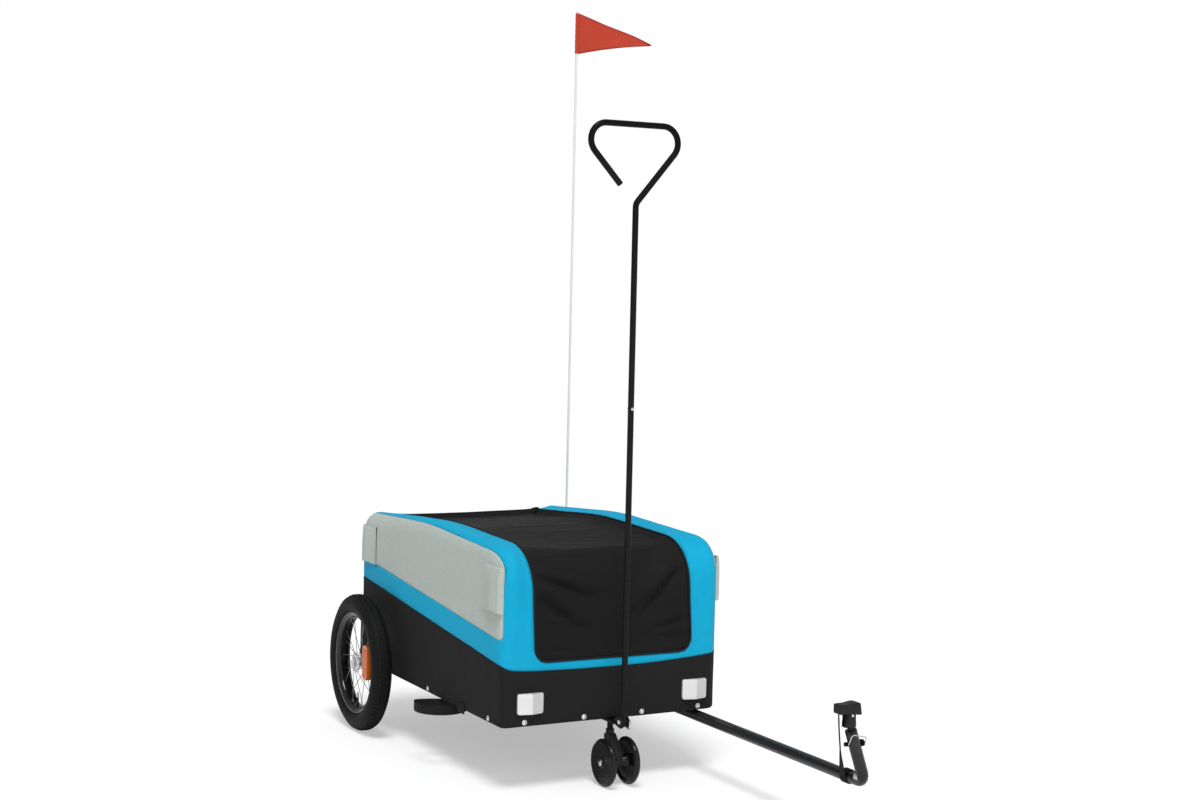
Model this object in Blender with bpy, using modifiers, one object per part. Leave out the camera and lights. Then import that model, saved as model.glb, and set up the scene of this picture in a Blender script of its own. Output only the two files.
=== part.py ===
"""Two-wheeled cargo trailer for a bicycle, with a hand-cart handle and a front caster.

Metres, +Z up, the front towards -Y. Shapes are drawn in trailer coordinates: x from the centre
plane, y backwards from the front face, z up from the ground. One empty carries them all and puts
the world origin on the middle of the cargo floor's upper face.
"""

import math

import bmesh
import bpy
from mathutils import Matrix, Quaternion, Vector

# Running and seating clearances
SEAT_GAP = 0.0003
TURN_GAP = 0.0004

# Fabric body
BODY_WIDTH = 0.494
BODY_LENGTH = 0.765
BODY_BOTTOM = 0.131
FRONT_TOP = 0.482
CROWN_Y = 0.400
CROWN_TOP = 0.4955
REAR_TOP = 0.470
FRONT_TOP_RADIUS = 0.100
CROWN_RADIUS = 1.5
REAR_TOP_RADIUS = 0.050
SADDLE = 0.016
SADDLE_FRONT = 0.004
EDGE_RADIUS = 0.030
HEM_RADIUS = 0.006
FABRIC = 0.0025
HEM_WIDTH = 0.022

# Seams: the black skirt meets the blue band, and the band meets the grey side panel
SKIRT_FRONT = 0.2375
SKIRT_FRONT_RIGHT = 0.0060
SKIRT_FRONT_LEFT = 0.0120
SKIRT_SIDE_FRONT = 0.2577
SKIRT_RISE = 0.0933
BAND_HEIGHT = 0.042
PANEL_END_INSET = 0.0145
PANEL_FRONT_DROP = 0.0070
PANEL_CROWN_DROP = 0.0085
PANEL_REAR_DROP = 0.0030
PANEL_FRONT_RADIUS = 0.098
PANEL_REAR_RADIUS = 0.048

# Zip-in cover
OPENING_HALF_WIDTH = 0.1790
OPENING_BOTTOM = 0.2545
OPENING_REAR_MARGIN = 0.0275
OPENING_CORNER = 0.028
PIPING_RADIUS = 0.0025
COVER_SAG = 0.005
COVER_FRONT_SAG = 0.003
FOLD_DEPTH = 0.0045
FOLD_WIDTH = 0.021
COVER_SPARE = 0.003
COVER_EDGE_FADE = 0.022

# Base frame and floor
RAIL_SIZE = 0.020
RAIL_EDGE = 0.004
RAIL_WALL_GAP = 0.0018
MIDDLE_MEMBER_Y = 0.350
FLOOR_THICKNESS = 0.004
FLOOR_EDGE_GAP = 0.0025

# Hoops and the tubes that tie them together
HOOP_RADIUS = 0.008
HOOP_INSET = 0.0169
TOP_BAR_RADIUS = 0.007

# Wheels
WHEEL_RADIUS = 0.150
WHEEL_OFFSET = 0.047
AXLE_REAR_MARGIN = 0.131
TYRE_SECTION = 0.0236
RIM_RADIUS = 0.1110
RIM_HALF_WIDTH = 0.0140
RIM_DEPTH = 0.0135
RIM_STEPS = 40
SPOKE_COUNT = 20
SPOKE_RADIUS = 0.0012
SPOKE_LEAN = math.radians(38)
HUB_HALF_LENGTH = 0.0145
HUB_RADIUS = 0.0100
FLANGE_RADIUS = 0.0220
FLANGE_X = 0.0100
AXLE_RADIUS = 0.0060
AXLE_CAP_RADIUS = 0.0105
AXLE_CAP_LENGTH = 0.0060
BRACKET_THICKNESS = 0.004
SPOKE_REFLECTOR = Vector((0.0130, 0.0260, 0.0760))
SPOKE_REFLECTOR_OFFSET = Vector((0.0105, -0.0705, 0.0095))

# Front caster
CASTER_Y = 0.011
CASTER_TRAIL = 0.0255
CASTER_RADIUS = 0.0477
CASTER_WHEEL_X = 0.0262
CASTER_TREAD = 0.0144
CASTER_AXLE_RADIUS = 0.0040
SWIVEL_STEM_RADIUS = 0.0042
SWIVEL_SOCKET_RADIUS = 0.0062
SWIVEL_SOCKET_BOTTOM = 0.1090
YOKE_HALF_WIDTH = 0.0090
PLATE_THICKNESS = 0.004
PLATE_HALF_WIDTH = 0.014

# Handle
HANDLE_Y = -0.0430
HANDLE_RADIUS = 0.0062
HANDLE_PIVOT_Z = 0.134
HANDLE_FOOT = 0.012
HANDLE_JOINT_Z = 0.743
HANDLE_NECK_Z = 1.156
HANDLE_TOP_Z = 1.3095
LOOP_RIGHT_CORNER = -0.1445
LOOP_LEFT_CORNER = 0.1300
LOOP_RADIUS = 0.033
LOOP_END = (-0.0355, 1.1925)
SPIGOT_RADIUS = 0.0047
SPIGOT_LENGTH = 0.060
JOINT_BOLT_RADIUS = 0.002
EAR_THICKNESS = 0.002
PIVOT_PIN_RADIUS = 0.003

# Tow bar and hitch
TOW_INSET = 0.038
TOW_RADIUS = 0.0111
TOW_REAR_Y = 0.490
TOW_BEND_Y = -0.5595
TOW_DROP = 0.0155
TOW_BEND_RADIUS = 0.020
UPRIGHT_LEAN = math.radians(19)
UPRIGHT_LENGTH = 0.100
TUBE_WALL = 0.0025
CLAMP_Y = 0.130
CLAMP_LENGTH = 0.028
CLAMP_WALL = 0.0016
KNOB_RADIUS = 0.0112
KNOB_LENGTH = 0.017
BALL_RADIUS = 0.0092
BALL_RISE = 0.0165
CUP_WALL = 0.0030
HEAD_SIZE = Vector((0.044, 0.024, 0.0175))
HEAD_RISE = 0.0280
HEAD_SHIFT = -0.005
HITCH_PIN_RADIUS = 0.004
HITCH_PIN_DROP = 0.0228
STRAP_WIDTH = 0.020
STRAP_THICKNESS = 0.0022
STRAP_LOOP_Y = -0.5035
STRAP_BAND_WIDTH = 0.017

# Flag
POLE_REAR_MARGIN = 0.0495
POLE_RADIUS = 0.0028
POLE_BORE = 0.0036
POLE_FOOT_Z = 0.206
POLE_TOP_Z = 1.640
CUP_HEIGHT = 0.045
CUP_RADIUS = 0.0085
FLAG_LENGTH = 0.204
FLAG_HEIGHT = 0.093
FLAG_THICKNESS = 0.0012
FLAG_WAVE = 0.006

# Trim
REFLECTOR_SIZE = Vector((0.056, 0.005, 0.0405))
REFLECTOR_RIDGE = 0.007
REFLECTOR_INSET = 0.0605
REFLECTOR_Z = 0.1775
FLAP_FRONT_TOP = 0.4460
FLAP_FRONT_HEIGHT = 0.0930
FLAP_REAR_TOP = 0.4440
FLAP_REAR_HEIGHT = 0.0840
FLAP_LENGTH = 0.090
FLAP_THICK = 0.0090
FLAP_THIN = 0.0012
FLAP_START = 0.014
STORAGE_LOOP_RADIUS = 0.054
STORAGE_LOOP_OUTSET = 0.003
STORAGE_LOOP_TURN = math.radians(-28)
STORAGE_LOOP_BACK = 0.30
STORAGE_LOOP_Y = 0.288
STORAGE_LOOP_HEIGHT = 0.020

# Worked out from the sizes above
HALF_WIDTH = BODY_WIDTH / 2
FAR_SIDE = HALF_WIDTH + 0.15
WHEEL_X = HALF_WIDTH + WHEEL_OFFSET
AXLE_Y = BODY_LENGTH - AXLE_REAR_MARGIN
TOW_X = HALF_WIDTH - TOW_INSET
POLE_Y = BODY_LENGTH - POLE_REAR_MARGIN
REFLECTOR_X = HALF_WIDTH - REFLECTOR_INSET
STORAGE_LOOP_X = -HALF_WIDTH - STORAGE_LOOP_OUTSET
RAIL_BOTTOM = BODY_BOTTOM + FABRIC + SEAT_GAP
RAIL_TOP = RAIL_BOTTOM + RAIL_SIZE
FLOOR_TOP = RAIL_TOP + SEAT_GAP + FLOOR_THICKNESS
RAIL_INSET = FABRIC + RAIL_WALL_GAP
UNDERSIDE = BODY_BOTTOM - SEAT_GAP
TOW_Z = BODY_BOTTOM - TOW_DROP
UPRIGHT = Vector((-math.sin(UPRIGHT_LEAN), 0, math.cos(UPRIGHT_LEAN)))
TOW_CORNER = Vector((TOW_X, TOW_BEND_Y, TOW_Z))
TOW_END = TOW_CORNER + UPRIGHT * UPRIGHT_LENGTH
BALL_CENTRE = TOW_END + UPRIGHT * BALL_RISE
POLE_X = HALF_WIDTH + SEAT_GAP + CUP_RADIUS
PIPING_HALF_WIDTH = OPENING_HALF_WIDTH - PIPING_RADIUS - SEAT_GAP
COVER_HALF_WIDTH = PIPING_HALF_WIDTH - PIPING_RADIUS - SEAT_GAP
PIPING_BOTTOM = OPENING_BOTTOM + PIPING_RADIUS + SEAT_GAP
COVER_BOTTOM = PIPING_BOTTOM + PIPING_RADIUS + SEAT_GAP
OPENING_REAR = BODY_LENGTH - OPENING_REAR_MARGIN
PIPING_REAR = OPENING_REAR - PIPING_RADIUS - SEAT_GAP
COVER_REAR = PIPING_REAR - PIPING_RADIUS - SEAT_GAP

COLOURS = {
    "black fabric": ((0.018, 0.018, 0.020), 0.85, 0.0),
    "cover fabric": ((0.022, 0.022, 0.024), 0.75, 0.0),
    "blue fabric": ((0.010, 0.420, 0.730), 0.70, 0.0),
    "grey fabric": ((0.370, 0.410, 0.390), 0.75, 0.0),
    "webbing": ((0.015, 0.015, 0.016), 0.80, 0.0),
    "black steel": ((0.015, 0.015, 0.016), 0.30, 0.5),
    "frame steel": ((0.020, 0.020, 0.022), 0.40, 0.5),
    "bright steel": ((0.700, 0.700, 0.710), 0.25, 1.0),
    "rubber": ((0.016, 0.016, 0.017), 0.80, 0.0),
    "black plastic": ((0.020, 0.020, 0.022), 0.45, 0.0),
    "floor board": ((0.030, 0.030, 0.032), 0.60, 0.0),
    "white lens": ((0.820, 0.820, 0.830), 0.15, 0.0),
    "red lens": ((0.600, 0.020, 0.015), 0.15, 0.0),
    "orange lens": ((0.780, 0.160, 0.030), 0.20, 0.0),
    "white rod": ((0.750, 0.760, 0.770), 0.35, 0.0),
    "flag cloth": ((0.600, 0.055, 0.035), 0.65, 0.0),
}


def clear_scene():
    for obj in list(bpy.data.objects):
        bpy.data.objects.remove(obj, do_unlink=True)


def new_collection(name):
    collection = bpy.data.collections.new(name)
    bpy.context.scene.collection.children.link(collection)
    return collection


clear_scene()
PARTS = new_collection("bicycle_trailer")
CUTTERS = new_collection("cutters")
CARRIER = bpy.data.objects.new("trailer_frame_origin", None)
CARRIER.location = (0, -BODY_LENGTH / 2, -FLOOR_TOP)
PARTS.objects.link(CARRIER)


def material(name):
    found = bpy.data.materials.get(name)
    if found:
        return found
    colour, roughness, metallic = COLOURS[name]
    made = bpy.data.materials.new(name)
    made.use_nodes = True
    made.diffuse_color = (*colour, 1)
    shader = made.node_tree.nodes["Principled BSDF"]
    shader.inputs["Base Color"].default_value = (*colour, 1)
    shader.inputs["Roughness"].default_value = roughness
    shader.inputs["Metallic"].default_value = metallic
    return made


def add_object(name, data):
    obj = bpy.data.objects.new(name, data)
    obj.parent = CARRIER
    CUTTERS.objects.link(obj)
    obj.hide_render = True
    obj.display_type = "WIRE"
    return obj


def finish(obj, finish_name, origin=None):
    """Makes a built shape one of the parts, with its origin moved to a point such as its joint."""
    CUTTERS.objects.unlink(obj)
    PARTS.objects.link(obj)
    obj.hide_render = False
    obj.display_type = "TEXTURED"
    obj.data.materials.clear()
    obj.data.materials.append(material(finish_name))
    if origin is not None:
        obj.data.transform(Matrix.Translation(obj.location - Vector(origin)))
        obj.location = origin
    if obj.type == "MESH":
        obj.data.shade_smooth()
        obj.data.set_sharp_from_angle(angle=math.radians(35))
    return obj


def from_bmesh(name, bm):
    bmesh.ops.recalc_face_normals(bm, faces=bm.faces)
    mesh = bpy.data.meshes.new(name)
    bm.to_mesh(mesh)
    bm.free()
    return add_object(name, mesh)


def as_mesh(obj):
    """The object's evaluated shape as a mesh object in its place."""
    bpy.context.view_layer.update()
    graph = bpy.context.evaluated_depsgraph_get()
    mesh = bpy.data.meshes.new_from_object(obj.evaluated_get(graph))
    bm = bmesh.new()
    bm.from_mesh(mesh)
    bmesh.ops.remove_doubles(bm, verts=bm.verts, dist=1e-6)
    bm.to_mesh(mesh)
    bm.free()
    name = obj.name
    placed = obj.matrix_basis.copy()
    old = obj.data
    bpy.data.objects.remove(obj, do_unlink=True)
    if isinstance(old, bpy.types.Curve):
        bpy.data.curves.remove(old)
    made = add_object(name, mesh)
    mesh.transform(placed)
    return made


def boolean(obj, other, operation):
    modifier = obj.modifiers.new(f"{operation.lower()} {other.name}", "BOOLEAN")
    modifier.object = other
    modifier.operation = operation
    modifier.solver = "EXACT"
    return obj


def cut(obj, *others):
    for other in others:
        boolean(obj, other, "DIFFERENCE")
    return obj


def join(obj, *others):
    for other in others:
        boolean(obj, other, "UNION")
    return obj


def box(name, low, high, edge=0.0):
    low, high = Vector(low), Vector(high)
    size = high - low
    bm = bmesh.new()
    bmesh.ops.create_cube(bm, size=1)
    bmesh.ops.scale(bm, vec=size, verts=bm.verts)
    bmesh.ops.translate(bm, vec=(low + high) / 2, verts=bm.verts)
    if edge:
        bmesh.ops.bevel(bm, geom=bm.edges[:], offset=edge, segments=1, affect="EDGES")
    return from_bmesh(name, bm)


def rod(name, start, end, radius, sides=16, end_radius=None):
    start, end = Vector(start), Vector(end)
    along = end - start
    turn = along.to_track_quat("Z", "Y").to_matrix().to_4x4()
    bm = bmesh.new()
    bmesh.ops.create_cone(
        bm,
        cap_ends=True,
        segments=sides,
        radius1=radius,
        radius2=radius if end_radius is None else end_radius,
        depth=along.length,
        matrix=Matrix.Translation((start + end) / 2) @ turn,
    )
    return from_bmesh(name, bm)


def turned(name, profile, centre, axis=(0, 0, 1), steps=24, closed=False):
    """A profile of (radius, height) points, outer side from top to bottom, screwed round an axis."""
    bm = bmesh.new()
    points = [bm.verts.new((radius, 0, height)) for radius, height in profile]
    for first, second in zip(points, points[1:]):
        bm.edges.new((first, second))
    if closed:
        bm.edges.new((points[-1], points[0]))
    mesh = bpy.data.meshes.new(name)
    bm.to_mesh(mesh)
    bm.free()
    obj = add_object(name, mesh)
    screw = obj.modifiers.new("turn", "SCREW")
    screw.steps = screw.render_steps = steps
    screw.use_merge_vertices = True
    screw.merge_threshold = 1e-5
    obj.location = centre
    obj.rotation_mode = "QUATERNION"
    obj.rotation_quaternion = Vector(axis).to_track_quat("Z", "Y")
    return as_mesh(obj)


def rounded(corners, radii, steps=6):
    """A path through the corners, with each inner corner turned into an arc of its radius."""
    corners = [Vector(corner) for corner in corners]
    points = [corners[0]]
    for before, corner, after, radius in zip(corners, corners[1:], corners[2:], radii):
        back = (before - corner).normalized()
        ahead = (after - corner).normalized()
        half = back.angle(ahead) / 2
        centre = corner + (back + ahead).normalized() * radius / math.sin(half)
        start = corner + back * radius / math.tan(half) - centre
        normal = back.cross(ahead).normalized()
        turn = math.pi - 2 * half
        for step in range(steps + 1):
            points.append(centre + Quaternion(normal, -turn * step / steps) @ start)
    points.append(corners[-1])
    return points


def tube(name, points, radius, resolution=4, closed=False):
    curve = bpy.data.curves.new(name, "CURVE")
    curve.dimensions = "3D"
    curve.bevel_depth = radius
    curve.bevel_resolution = resolution
    curve.use_fill_caps = not closed
    spline = curve.splines.new("POLY")
    spline.points.add(len(points) - 1)
    for slot, point in zip(spline.points, points):
        slot.co = (*point, 1)
    spline.use_cyclic_u = closed
    return as_mesh(add_object(name, curve))


def plate(name, outline, thickness, side, up, centre=(0, 0, 0)):
    """A flat outline of (side, up) points, extruded by half its thickness both ways."""
    curve = bpy.data.curves.new(name, "CURVE")
    curve.dimensions = "2D"
    curve.fill_mode = "BOTH"
    curve.extrude = thickness / 2
    spline = curve.splines.new("POLY")
    spline.points.add(len(outline) - 1)
    for slot, (across, height) in zip(spline.points, outline):
        slot.co = (across, height, 0, 1)
    spline.use_cyclic_u = True
    side, up = Vector(side), Vector(up)
    turn = Matrix((side, up, side.cross(up))).transposed().to_4x4()
    obj = as_mesh(add_object(name, curve))
    obj.data.transform(Matrix.Translation(centre) @ turn)
    return obj


def flat(points):
    """Path points in the YZ plane as (y, z) pairs."""
    return [(point.y, point.z) for point in points]


def profile_corners(inset):
    """Front, crown and rear corners of the body's side outline, drawn in by an inset."""
    outer = [
        Vector((0, 0, BODY_BOTTOM)),
        Vector((0, 0, FRONT_TOP)),
        Vector((0, CROWN_Y, CROWN_TOP)),
        Vector((0, BODY_LENGTH, REAR_TOP)),
        Vector((0, BODY_LENGTH, BODY_BOTTOM)),
    ]
    inner = []
    for before, corner, after in zip(outer, outer[1:], outer[2:]):
        first = Vector((0, -(corner - before).z, (corner - before).y)).normalized()
        second = Vector((0, -(after - corner).z, (after - corner).y)).normalized()
        inner.append(corner - (first + second) * inset / (1 + first.dot(second)))
    return inner


def side_outline(inset, bottom, top_steps=6):
    front, crown, rear = profile_corners(inset)
    corners = [Vector((0, front.y, bottom)), front, crown, rear, Vector((0, rear.y, bottom))]
    radii = [FRONT_TOP_RADIUS - inset, CROWN_RADIUS, REAR_TOP_RADIUS - inset]
    return rounded(corners, radii, top_steps)


def body_block(name, inset, bottom, hem=0.0):
    """The body's outer form drawn in by an inset: the side outline made solid, its edges rounded."""
    half = HALF_WIDTH - inset
    bm = bmesh.new()
    side = bm.faces.new([bm.verts.new((-half, p.y, p.z)) for p in side_outline(inset, bottom)])
    made = bmesh.ops.extrude_face_region(bm, geom=[side])
    moved = [item for item in made["geom"] if isinstance(item, bmesh.types.BMVert)]
    bmesh.ops.translate(bm, vec=(2 * half, 0, 0), verts=moved)
    bmesh.ops.recalc_face_normals(bm, faces=bm.faces)

    def at_bottom(edge):
        return all(abs(vert.co.z - bottom) < 1e-6 for vert in edge.verts)

    rims = [
        edge
        for edge in bm.edges
        if abs(edge.verts[0].co.x - edge.verts[1].co.x) < 1e-6 and not at_bottom(edge)
    ]
    bmesh.ops.bevel(
        bm, geom=rims, offset=EDGE_RADIUS - inset, segments=4, profile=0.5, affect="EDGES"
    )
    if hem:
        edges = [edge for edge in bm.edges if at_bottom(edge)]
        bmesh.ops.bevel(bm, geom=edges, offset=hem, segments=2, profile=0.5, affect="EDGES")
    reach = HALF_WIDTH - EDGE_RADIUS
    for share in (-0.83, -0.58, -0.29, 0, 0.29, 0.58, 0.83):
        geometry = bm.verts[:] + bm.edges[:] + bm.faces[:]
        bmesh.ops.bisect_plane(
            bm, geom=geometry, dist=1e-6, plane_co=(reach * share, 0, 0), plane_no=(1, 0, 0)
        )
    for vert in bm.verts:
        vert.co += saddle(vert.co)
    return from_bmesh(name, bm)


def saddle(place):
    """How the cloth sinks between the hoops: most along the top, less down the front."""
    across = place.x / (HALF_WIDTH - EDGE_RADIUS)
    if abs(across) >= 1:
        return Vector()
    front, _, rear = profile_corners(0)
    low_front = front.z - FRONT_TOP_RADIUS
    low_rear = rear.z - REAR_TOP_RADIUS
    if place.y < FRONT_TOP_RADIUS:
        up = (place.z - low_front) / FRONT_TOP_RADIUS
        turn = math.atan2(max(up, 0), 1 - place.y / FRONT_TOP_RADIUS)
        fade = min(max((place.z - SKIRT_FRONT - 0.025) / (low_front - SKIRT_FRONT - 0.025), 0), 1)
        depth = SADDLE_FRONT * fade + (SADDLE - SADDLE_FRONT) * (2 * turn / math.pi) ** 1.5
        way = Vector((0, math.cos(turn), -math.sin(turn)))
    elif place.y > BODY_LENGTH - REAR_TOP_RADIUS:
        up = (place.z - low_rear) / REAR_TOP_RADIUS
        turn = math.atan2(max(up, 0), (place.y - BODY_LENGTH) / REAR_TOP_RADIUS + 1)
        depth = SADDLE * 2 * turn / math.pi
        way = Vector((0, -math.cos(turn), -math.sin(turn)))
    else:
        high = place.z > BODY_BOTTOM + (FRONT_TOP - BODY_BOTTOM) / 2
        depth, way = SADDLE * high, Vector((0, 0, -1))
    return way * depth * (1 - abs(across) ** 3)


def skirt_seam(y):
    return SKIRT_SIDE_FRONT + SKIRT_RISE * y


def seam_block(name, offset, upper):
    """What lies above or below the seam, which dips across the front and climbs the sides."""
    beyond = 0.05
    top = 0.9 if upper else 0.05
    columns = [-FAR_SIDE, -HALF_WIDTH, -HALF_WIDTH / 2, 0, HALF_WIDTH / 2, HALF_WIDTH, FAR_SIDE]
    bm = bmesh.new()
    rings = []
    for x in columns:
        share = max(-1, min(1, x / HALF_WIDTH))
        lift = (SKIRT_FRONT_LEFT if share > 0 else SKIRT_FRONT_RIGHT) * share * share
        ring = [
            (-beyond, SKIRT_FRONT + lift + offset),
            (FABRIC + 0.001, SKIRT_FRONT + lift + offset),
            (EDGE_RADIUS - 0.002, skirt_seam(EDGE_RADIUS) + offset),
            (BODY_LENGTH + beyond, skirt_seam(BODY_LENGTH + beyond) + offset),
            (BODY_LENGTH + beyond, top),
            (-beyond, top),
        ]
        rings.append([bm.verts.new((x, y, z)) for y, z in ring])
    for left, right in zip(rings, rings[1:]):
        for k in range(6):
            bm.faces.new((left[k], left[(k + 1) % 6], right[(k + 1) % 6], right[k]))
    bm.faces.new(rings[0])
    bm.faces.new(rings[-1])
    return from_bmesh(name, bm)


def side_plate(name, outline, x_low, x_high):
    centre = ((x_low + x_high) / 2, 0, 0)
    return plate(name, outline, x_high - x_low, (0, 1, 0), (0, 0, 1), centre)


def fabric_shell(name, number):
    shell = body_block(name, 0, BODY_BOTTOM, HEM_RADIUS)
    inside = body_block(f"inside {number}", FABRIC, BODY_BOTTOM + FABRIC)
    edge = FABRIC + HEM_WIDTH
    window = box(
        f"window {number}",
        (edge - HALF_WIDTH, edge, BODY_BOTTOM - 0.01),
        (HALF_WIDTH - edge, BODY_LENGTH - edge, BODY_BOTTOM + 0.01),
    )
    return cut(shell, inside, window)


def panel_outline(grow):
    """Side view of the grey panel, grown by a gap for the opening that it fills."""
    front = PANEL_END_INSET - grow
    rear = BODY_LENGTH - PANEL_END_INSET + grow
    corners = [
        (0, front, skirt_seam(front) + BAND_HEIGHT - grow),
        (0, front, FRONT_TOP - PANEL_FRONT_DROP + grow),
        (0, CROWN_Y, CROWN_TOP - PANEL_CROWN_DROP + grow),
        (0, rear, REAR_TOP - PANEL_REAR_DROP + grow),
        (0, rear, skirt_seam(rear) + BAND_HEIGHT - grow),
    ]
    radii = [PANEL_FRONT_RADIUS + grow, CROWN_RADIUS, PANEL_REAR_RADIUS + grow]
    return flat(rounded(corners, radii, 7))


def height_on_outline(outline, y):
    """Height at which an outline, followed from its low end, first passes a place along y."""
    for first, second in zip(outline, outline[1:]):
        if min(first.y, second.y) <= y <= max(first.y, second.y) and first.y != second.y:
            return first.z + (second.z - first.z) * (y - first.y) / (second.y - first.y)
    return outline[0].z


def opening_cutters(name, half_width, bottom, rear, corner):
    """The cover's opening: a rounded window through the front and a slot along the top."""
    far = 0.60
    arc = rounded(
        [(-half_width, 0, far), (-half_width, 0, bottom), (half_width, 0, bottom), (half_width, 0, far)],
        [corner, corner],
        8,
    )
    outline = [(p.x, p.z) for p in arc]
    front = plate(f"{name} front", outline, 0.20, (1, 0, 0), (0, 0, 1), (0, FRONT_TOP_RADIUS - 0.10, 0))
    top = box(f"{name} top", (-half_width, FRONT_TOP_RADIUS - 0.02, 0.35), (half_width, rear, far))
    return as_mesh(join(front, top))


def fold(across, height, start, end, depth):
    """Inward push of a crease that runs from one place on the cover's front to another."""
    line = Vector(end) - Vector(start)
    place = Vector((across, height)) - Vector(start)
    along = place.dot(line) / line.length_squared
    if not -0.15 < along < 1.15:
        return 0.0
    off = (place - line * along).length / FOLD_WIDTH
    fade = math.sin(math.pi * min(max((along + 0.15) / 1.3, 0), 1)) ** 0.5
    return depth * fade * (1.6 * off * off - 1) * math.exp(-off * off)


def cover_push(across, travel, total):
    """How far the cover lies inside the body's outline: its sag and its main diagonal folds."""
    share = across / COVER_HALF_WIDTH
    edge = max(1 - share * share, 0)
    ends = max(min((travel - COVER_SPARE) / 0.05, (total - COVER_SPARE - travel) / 0.03, 1), 0)
    front_end = 0.24
    blend = min(max((travel - front_end) / 0.16, 0), 1)
    level = max(min((COVER_HALF_WIDTH - abs(across)) / COVER_EDGE_FADE, 1), 0)
    push = COVER_FRONT_SAG * edge * (1 - blend) + COVER_SAG * level * (2 - level) * blend
    for side in (-1, 1):
        push += fold(across, travel, (side * 0.165, 0.215), (side * 0.03, 0.135), FOLD_DEPTH)
        push += fold(across, travel, (side * 0.165, 0.045), (side * 0.08, 0.02), FOLD_DEPTH / 2)
        push += fold(across, travel, (side * 0.165, 0.30), (side * 0.02, 0.42), FOLD_DEPTH / 2)
    return max(push, -0.002) * ends * min(edge * 4, 1)


def cover_path():
    """The side outline from the cover's lower front edge to its rear edge, with travel and normal."""
    points = side_outline(0, BODY_BOTTOM, 7)
    fine = []
    for first, second in zip(points, points[1:]):
        pieces = max(1, round((second - first).length / 0.045))
        fine += [first.lerp(second, step / pieces) for step in range(pieces)]
    fine.append(points[-1])
    kept = [p for p in fine if p.z > COVER_BOTTOM + 0.004 and p.y < COVER_REAR - 0.004]
    rear = COVER_REAR + COVER_SPARE
    start = Vector((0, 0, COVER_BOTTOM - COVER_SPARE))
    end = Vector((0, rear, height_on_outline(points[::-1], rear)))
    return [start] + kept + [end]


def cover():
    path = cover_path()
    travel = [0.0]
    for first, second in zip(path, path[1:]):
        travel.append(travel[-1] + (second - first).length)
    columns = 14
    half = COVER_HALF_WIDTH + COVER_SPARE
    bm = bmesh.new()
    grid = []
    for index, point in enumerate(path):
        ahead = path[min(index + 1, len(path) - 1)]
        behind = path[max(index - 1, 0)]
        along = (ahead - behind).normalized()
        inward = Vector((0, along.z, -along.y))
        row = []
        for column in range(columns + 1):
            across = half * (2 * column / columns - 1)
            push = cover_push(across, travel[index], travel[-1])
            place = Vector((across, point.y, point.z))
            row.append(bm.verts.new(place + saddle(place) + inward * push))
        grid.append(row)
    for lower, upper in zip(grid, grid[1:]):
        for column in range(columns):
            bm.faces.new((lower[column], lower[column + 1], upper[column + 1], upper[column]))
    obj = from_bmesh("top_cover", bm)
    shell = obj.modifiers.new("cloth", "SOLIDIFY")
    shell.thickness = FABRIC
    shell.offset = -1
    obj = as_mesh(obj)
    trim = opening_cutters(
        "cover trim", COVER_HALF_WIDTH, COVER_BOTTOM, COVER_REAR, OPENING_CORNER - 2 * PIPING_RADIUS
    )
    return boolean(obj, trim, "INTERSECT")


def hinge_place():
    outline = side_outline(PIPING_RADIUS - 0.001, PIPING_BOTTOM, 8)
    place = Vector((PIPING_HALF_WIDTH, PIPING_REAR, height_on_outline(outline[::-1], PIPING_REAR)))
    place += saddle(place)
    return Vector((0, PIPING_REAR, place.z))


def piping():
    """The zip's piping, a cord round the opening, level with the cloth beside it."""
    outline = side_outline(PIPING_RADIUS - 0.001, PIPING_BOTTOM, 8)
    rear = Vector((0, PIPING_REAR, height_on_outline(outline[::-1], PIPING_REAR)))
    run = [p for p in outline if p.y < PIPING_REAR and p.z > PIPING_BOTTOM + OPENING_CORNER]
    front = outline[0].y
    radius = OPENING_CORNER - PIPING_RADIUS
    half = PIPING_HALF_WIDTH
    sill = rounded(
        [(-half, front, 0.40), (-half, front, PIPING_BOTTOM), (half, front, PIPING_BOTTOM), (half, front, 0.40)],
        [radius, radius],
        8,
    )[1:-1]
    up = [Vector((half, p.y, p.z)) for p in run] + [Vector((half, rear.y, rear.z))]
    down = [Vector((-p.x, p.y, p.z)) for p in reversed(up)]
    across = [Vector((half * share, rear.y, rear.z)) for share in (0.67, 0.33, 0, -0.33, -0.67)]
    route = [place + saddle(place) for place in sill + up + across + down]
    for place in route[len(sill) + len(up) - 1 : len(sill) + len(up) + len(across) + 1]:
        place.y = PIPING_REAR
    return tube("cover_piping", route, PIPING_RADIUS, 1, closed=True)


def build_fabric():
    below = seam_block("below seam", -SEAT_GAP / 2, False)
    above = seam_block("above seam", SEAT_GAP / 2, True)
    skirt = boolean(fabric_shell("lower_body_fabric", 1), below, "INTERSECT")
    finish(skirt, "black fabric")
    upper = boolean(fabric_shell("upper_body_fabric", 2), above, "INTERSECT")
    inner_x = HALF_WIDTH - EDGE_RADIUS
    for side, low, high_x in (("right", -FAR_SIDE, -inner_x), ("left", inner_x, FAR_SIDE)):
        cut(upper, side_plate(f"{side} panel hole", panel_outline(SEAT_GAP), low, high_x))
        panel = fabric_shell(f"{side}_side_panel", 3 if side == "right" else 4)
        shape = side_plate(f"{side} panel shape", panel_outline(0), low, high_x)
        finish(boolean(panel, shape, "INTERSECT"), "grey fabric")
    cut(
        upper,
        opening_cutters("opening", OPENING_HALF_WIDTH, OPENING_BOTTOM, OPENING_REAR, OPENING_CORNER),
    )
    finish(upper, "blue fabric")


def build_cover():
    hinge = hinge_place()
    finish(cover(), "cover fabric", hinge)
    finish(piping(), "webbing", hinge)


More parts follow.
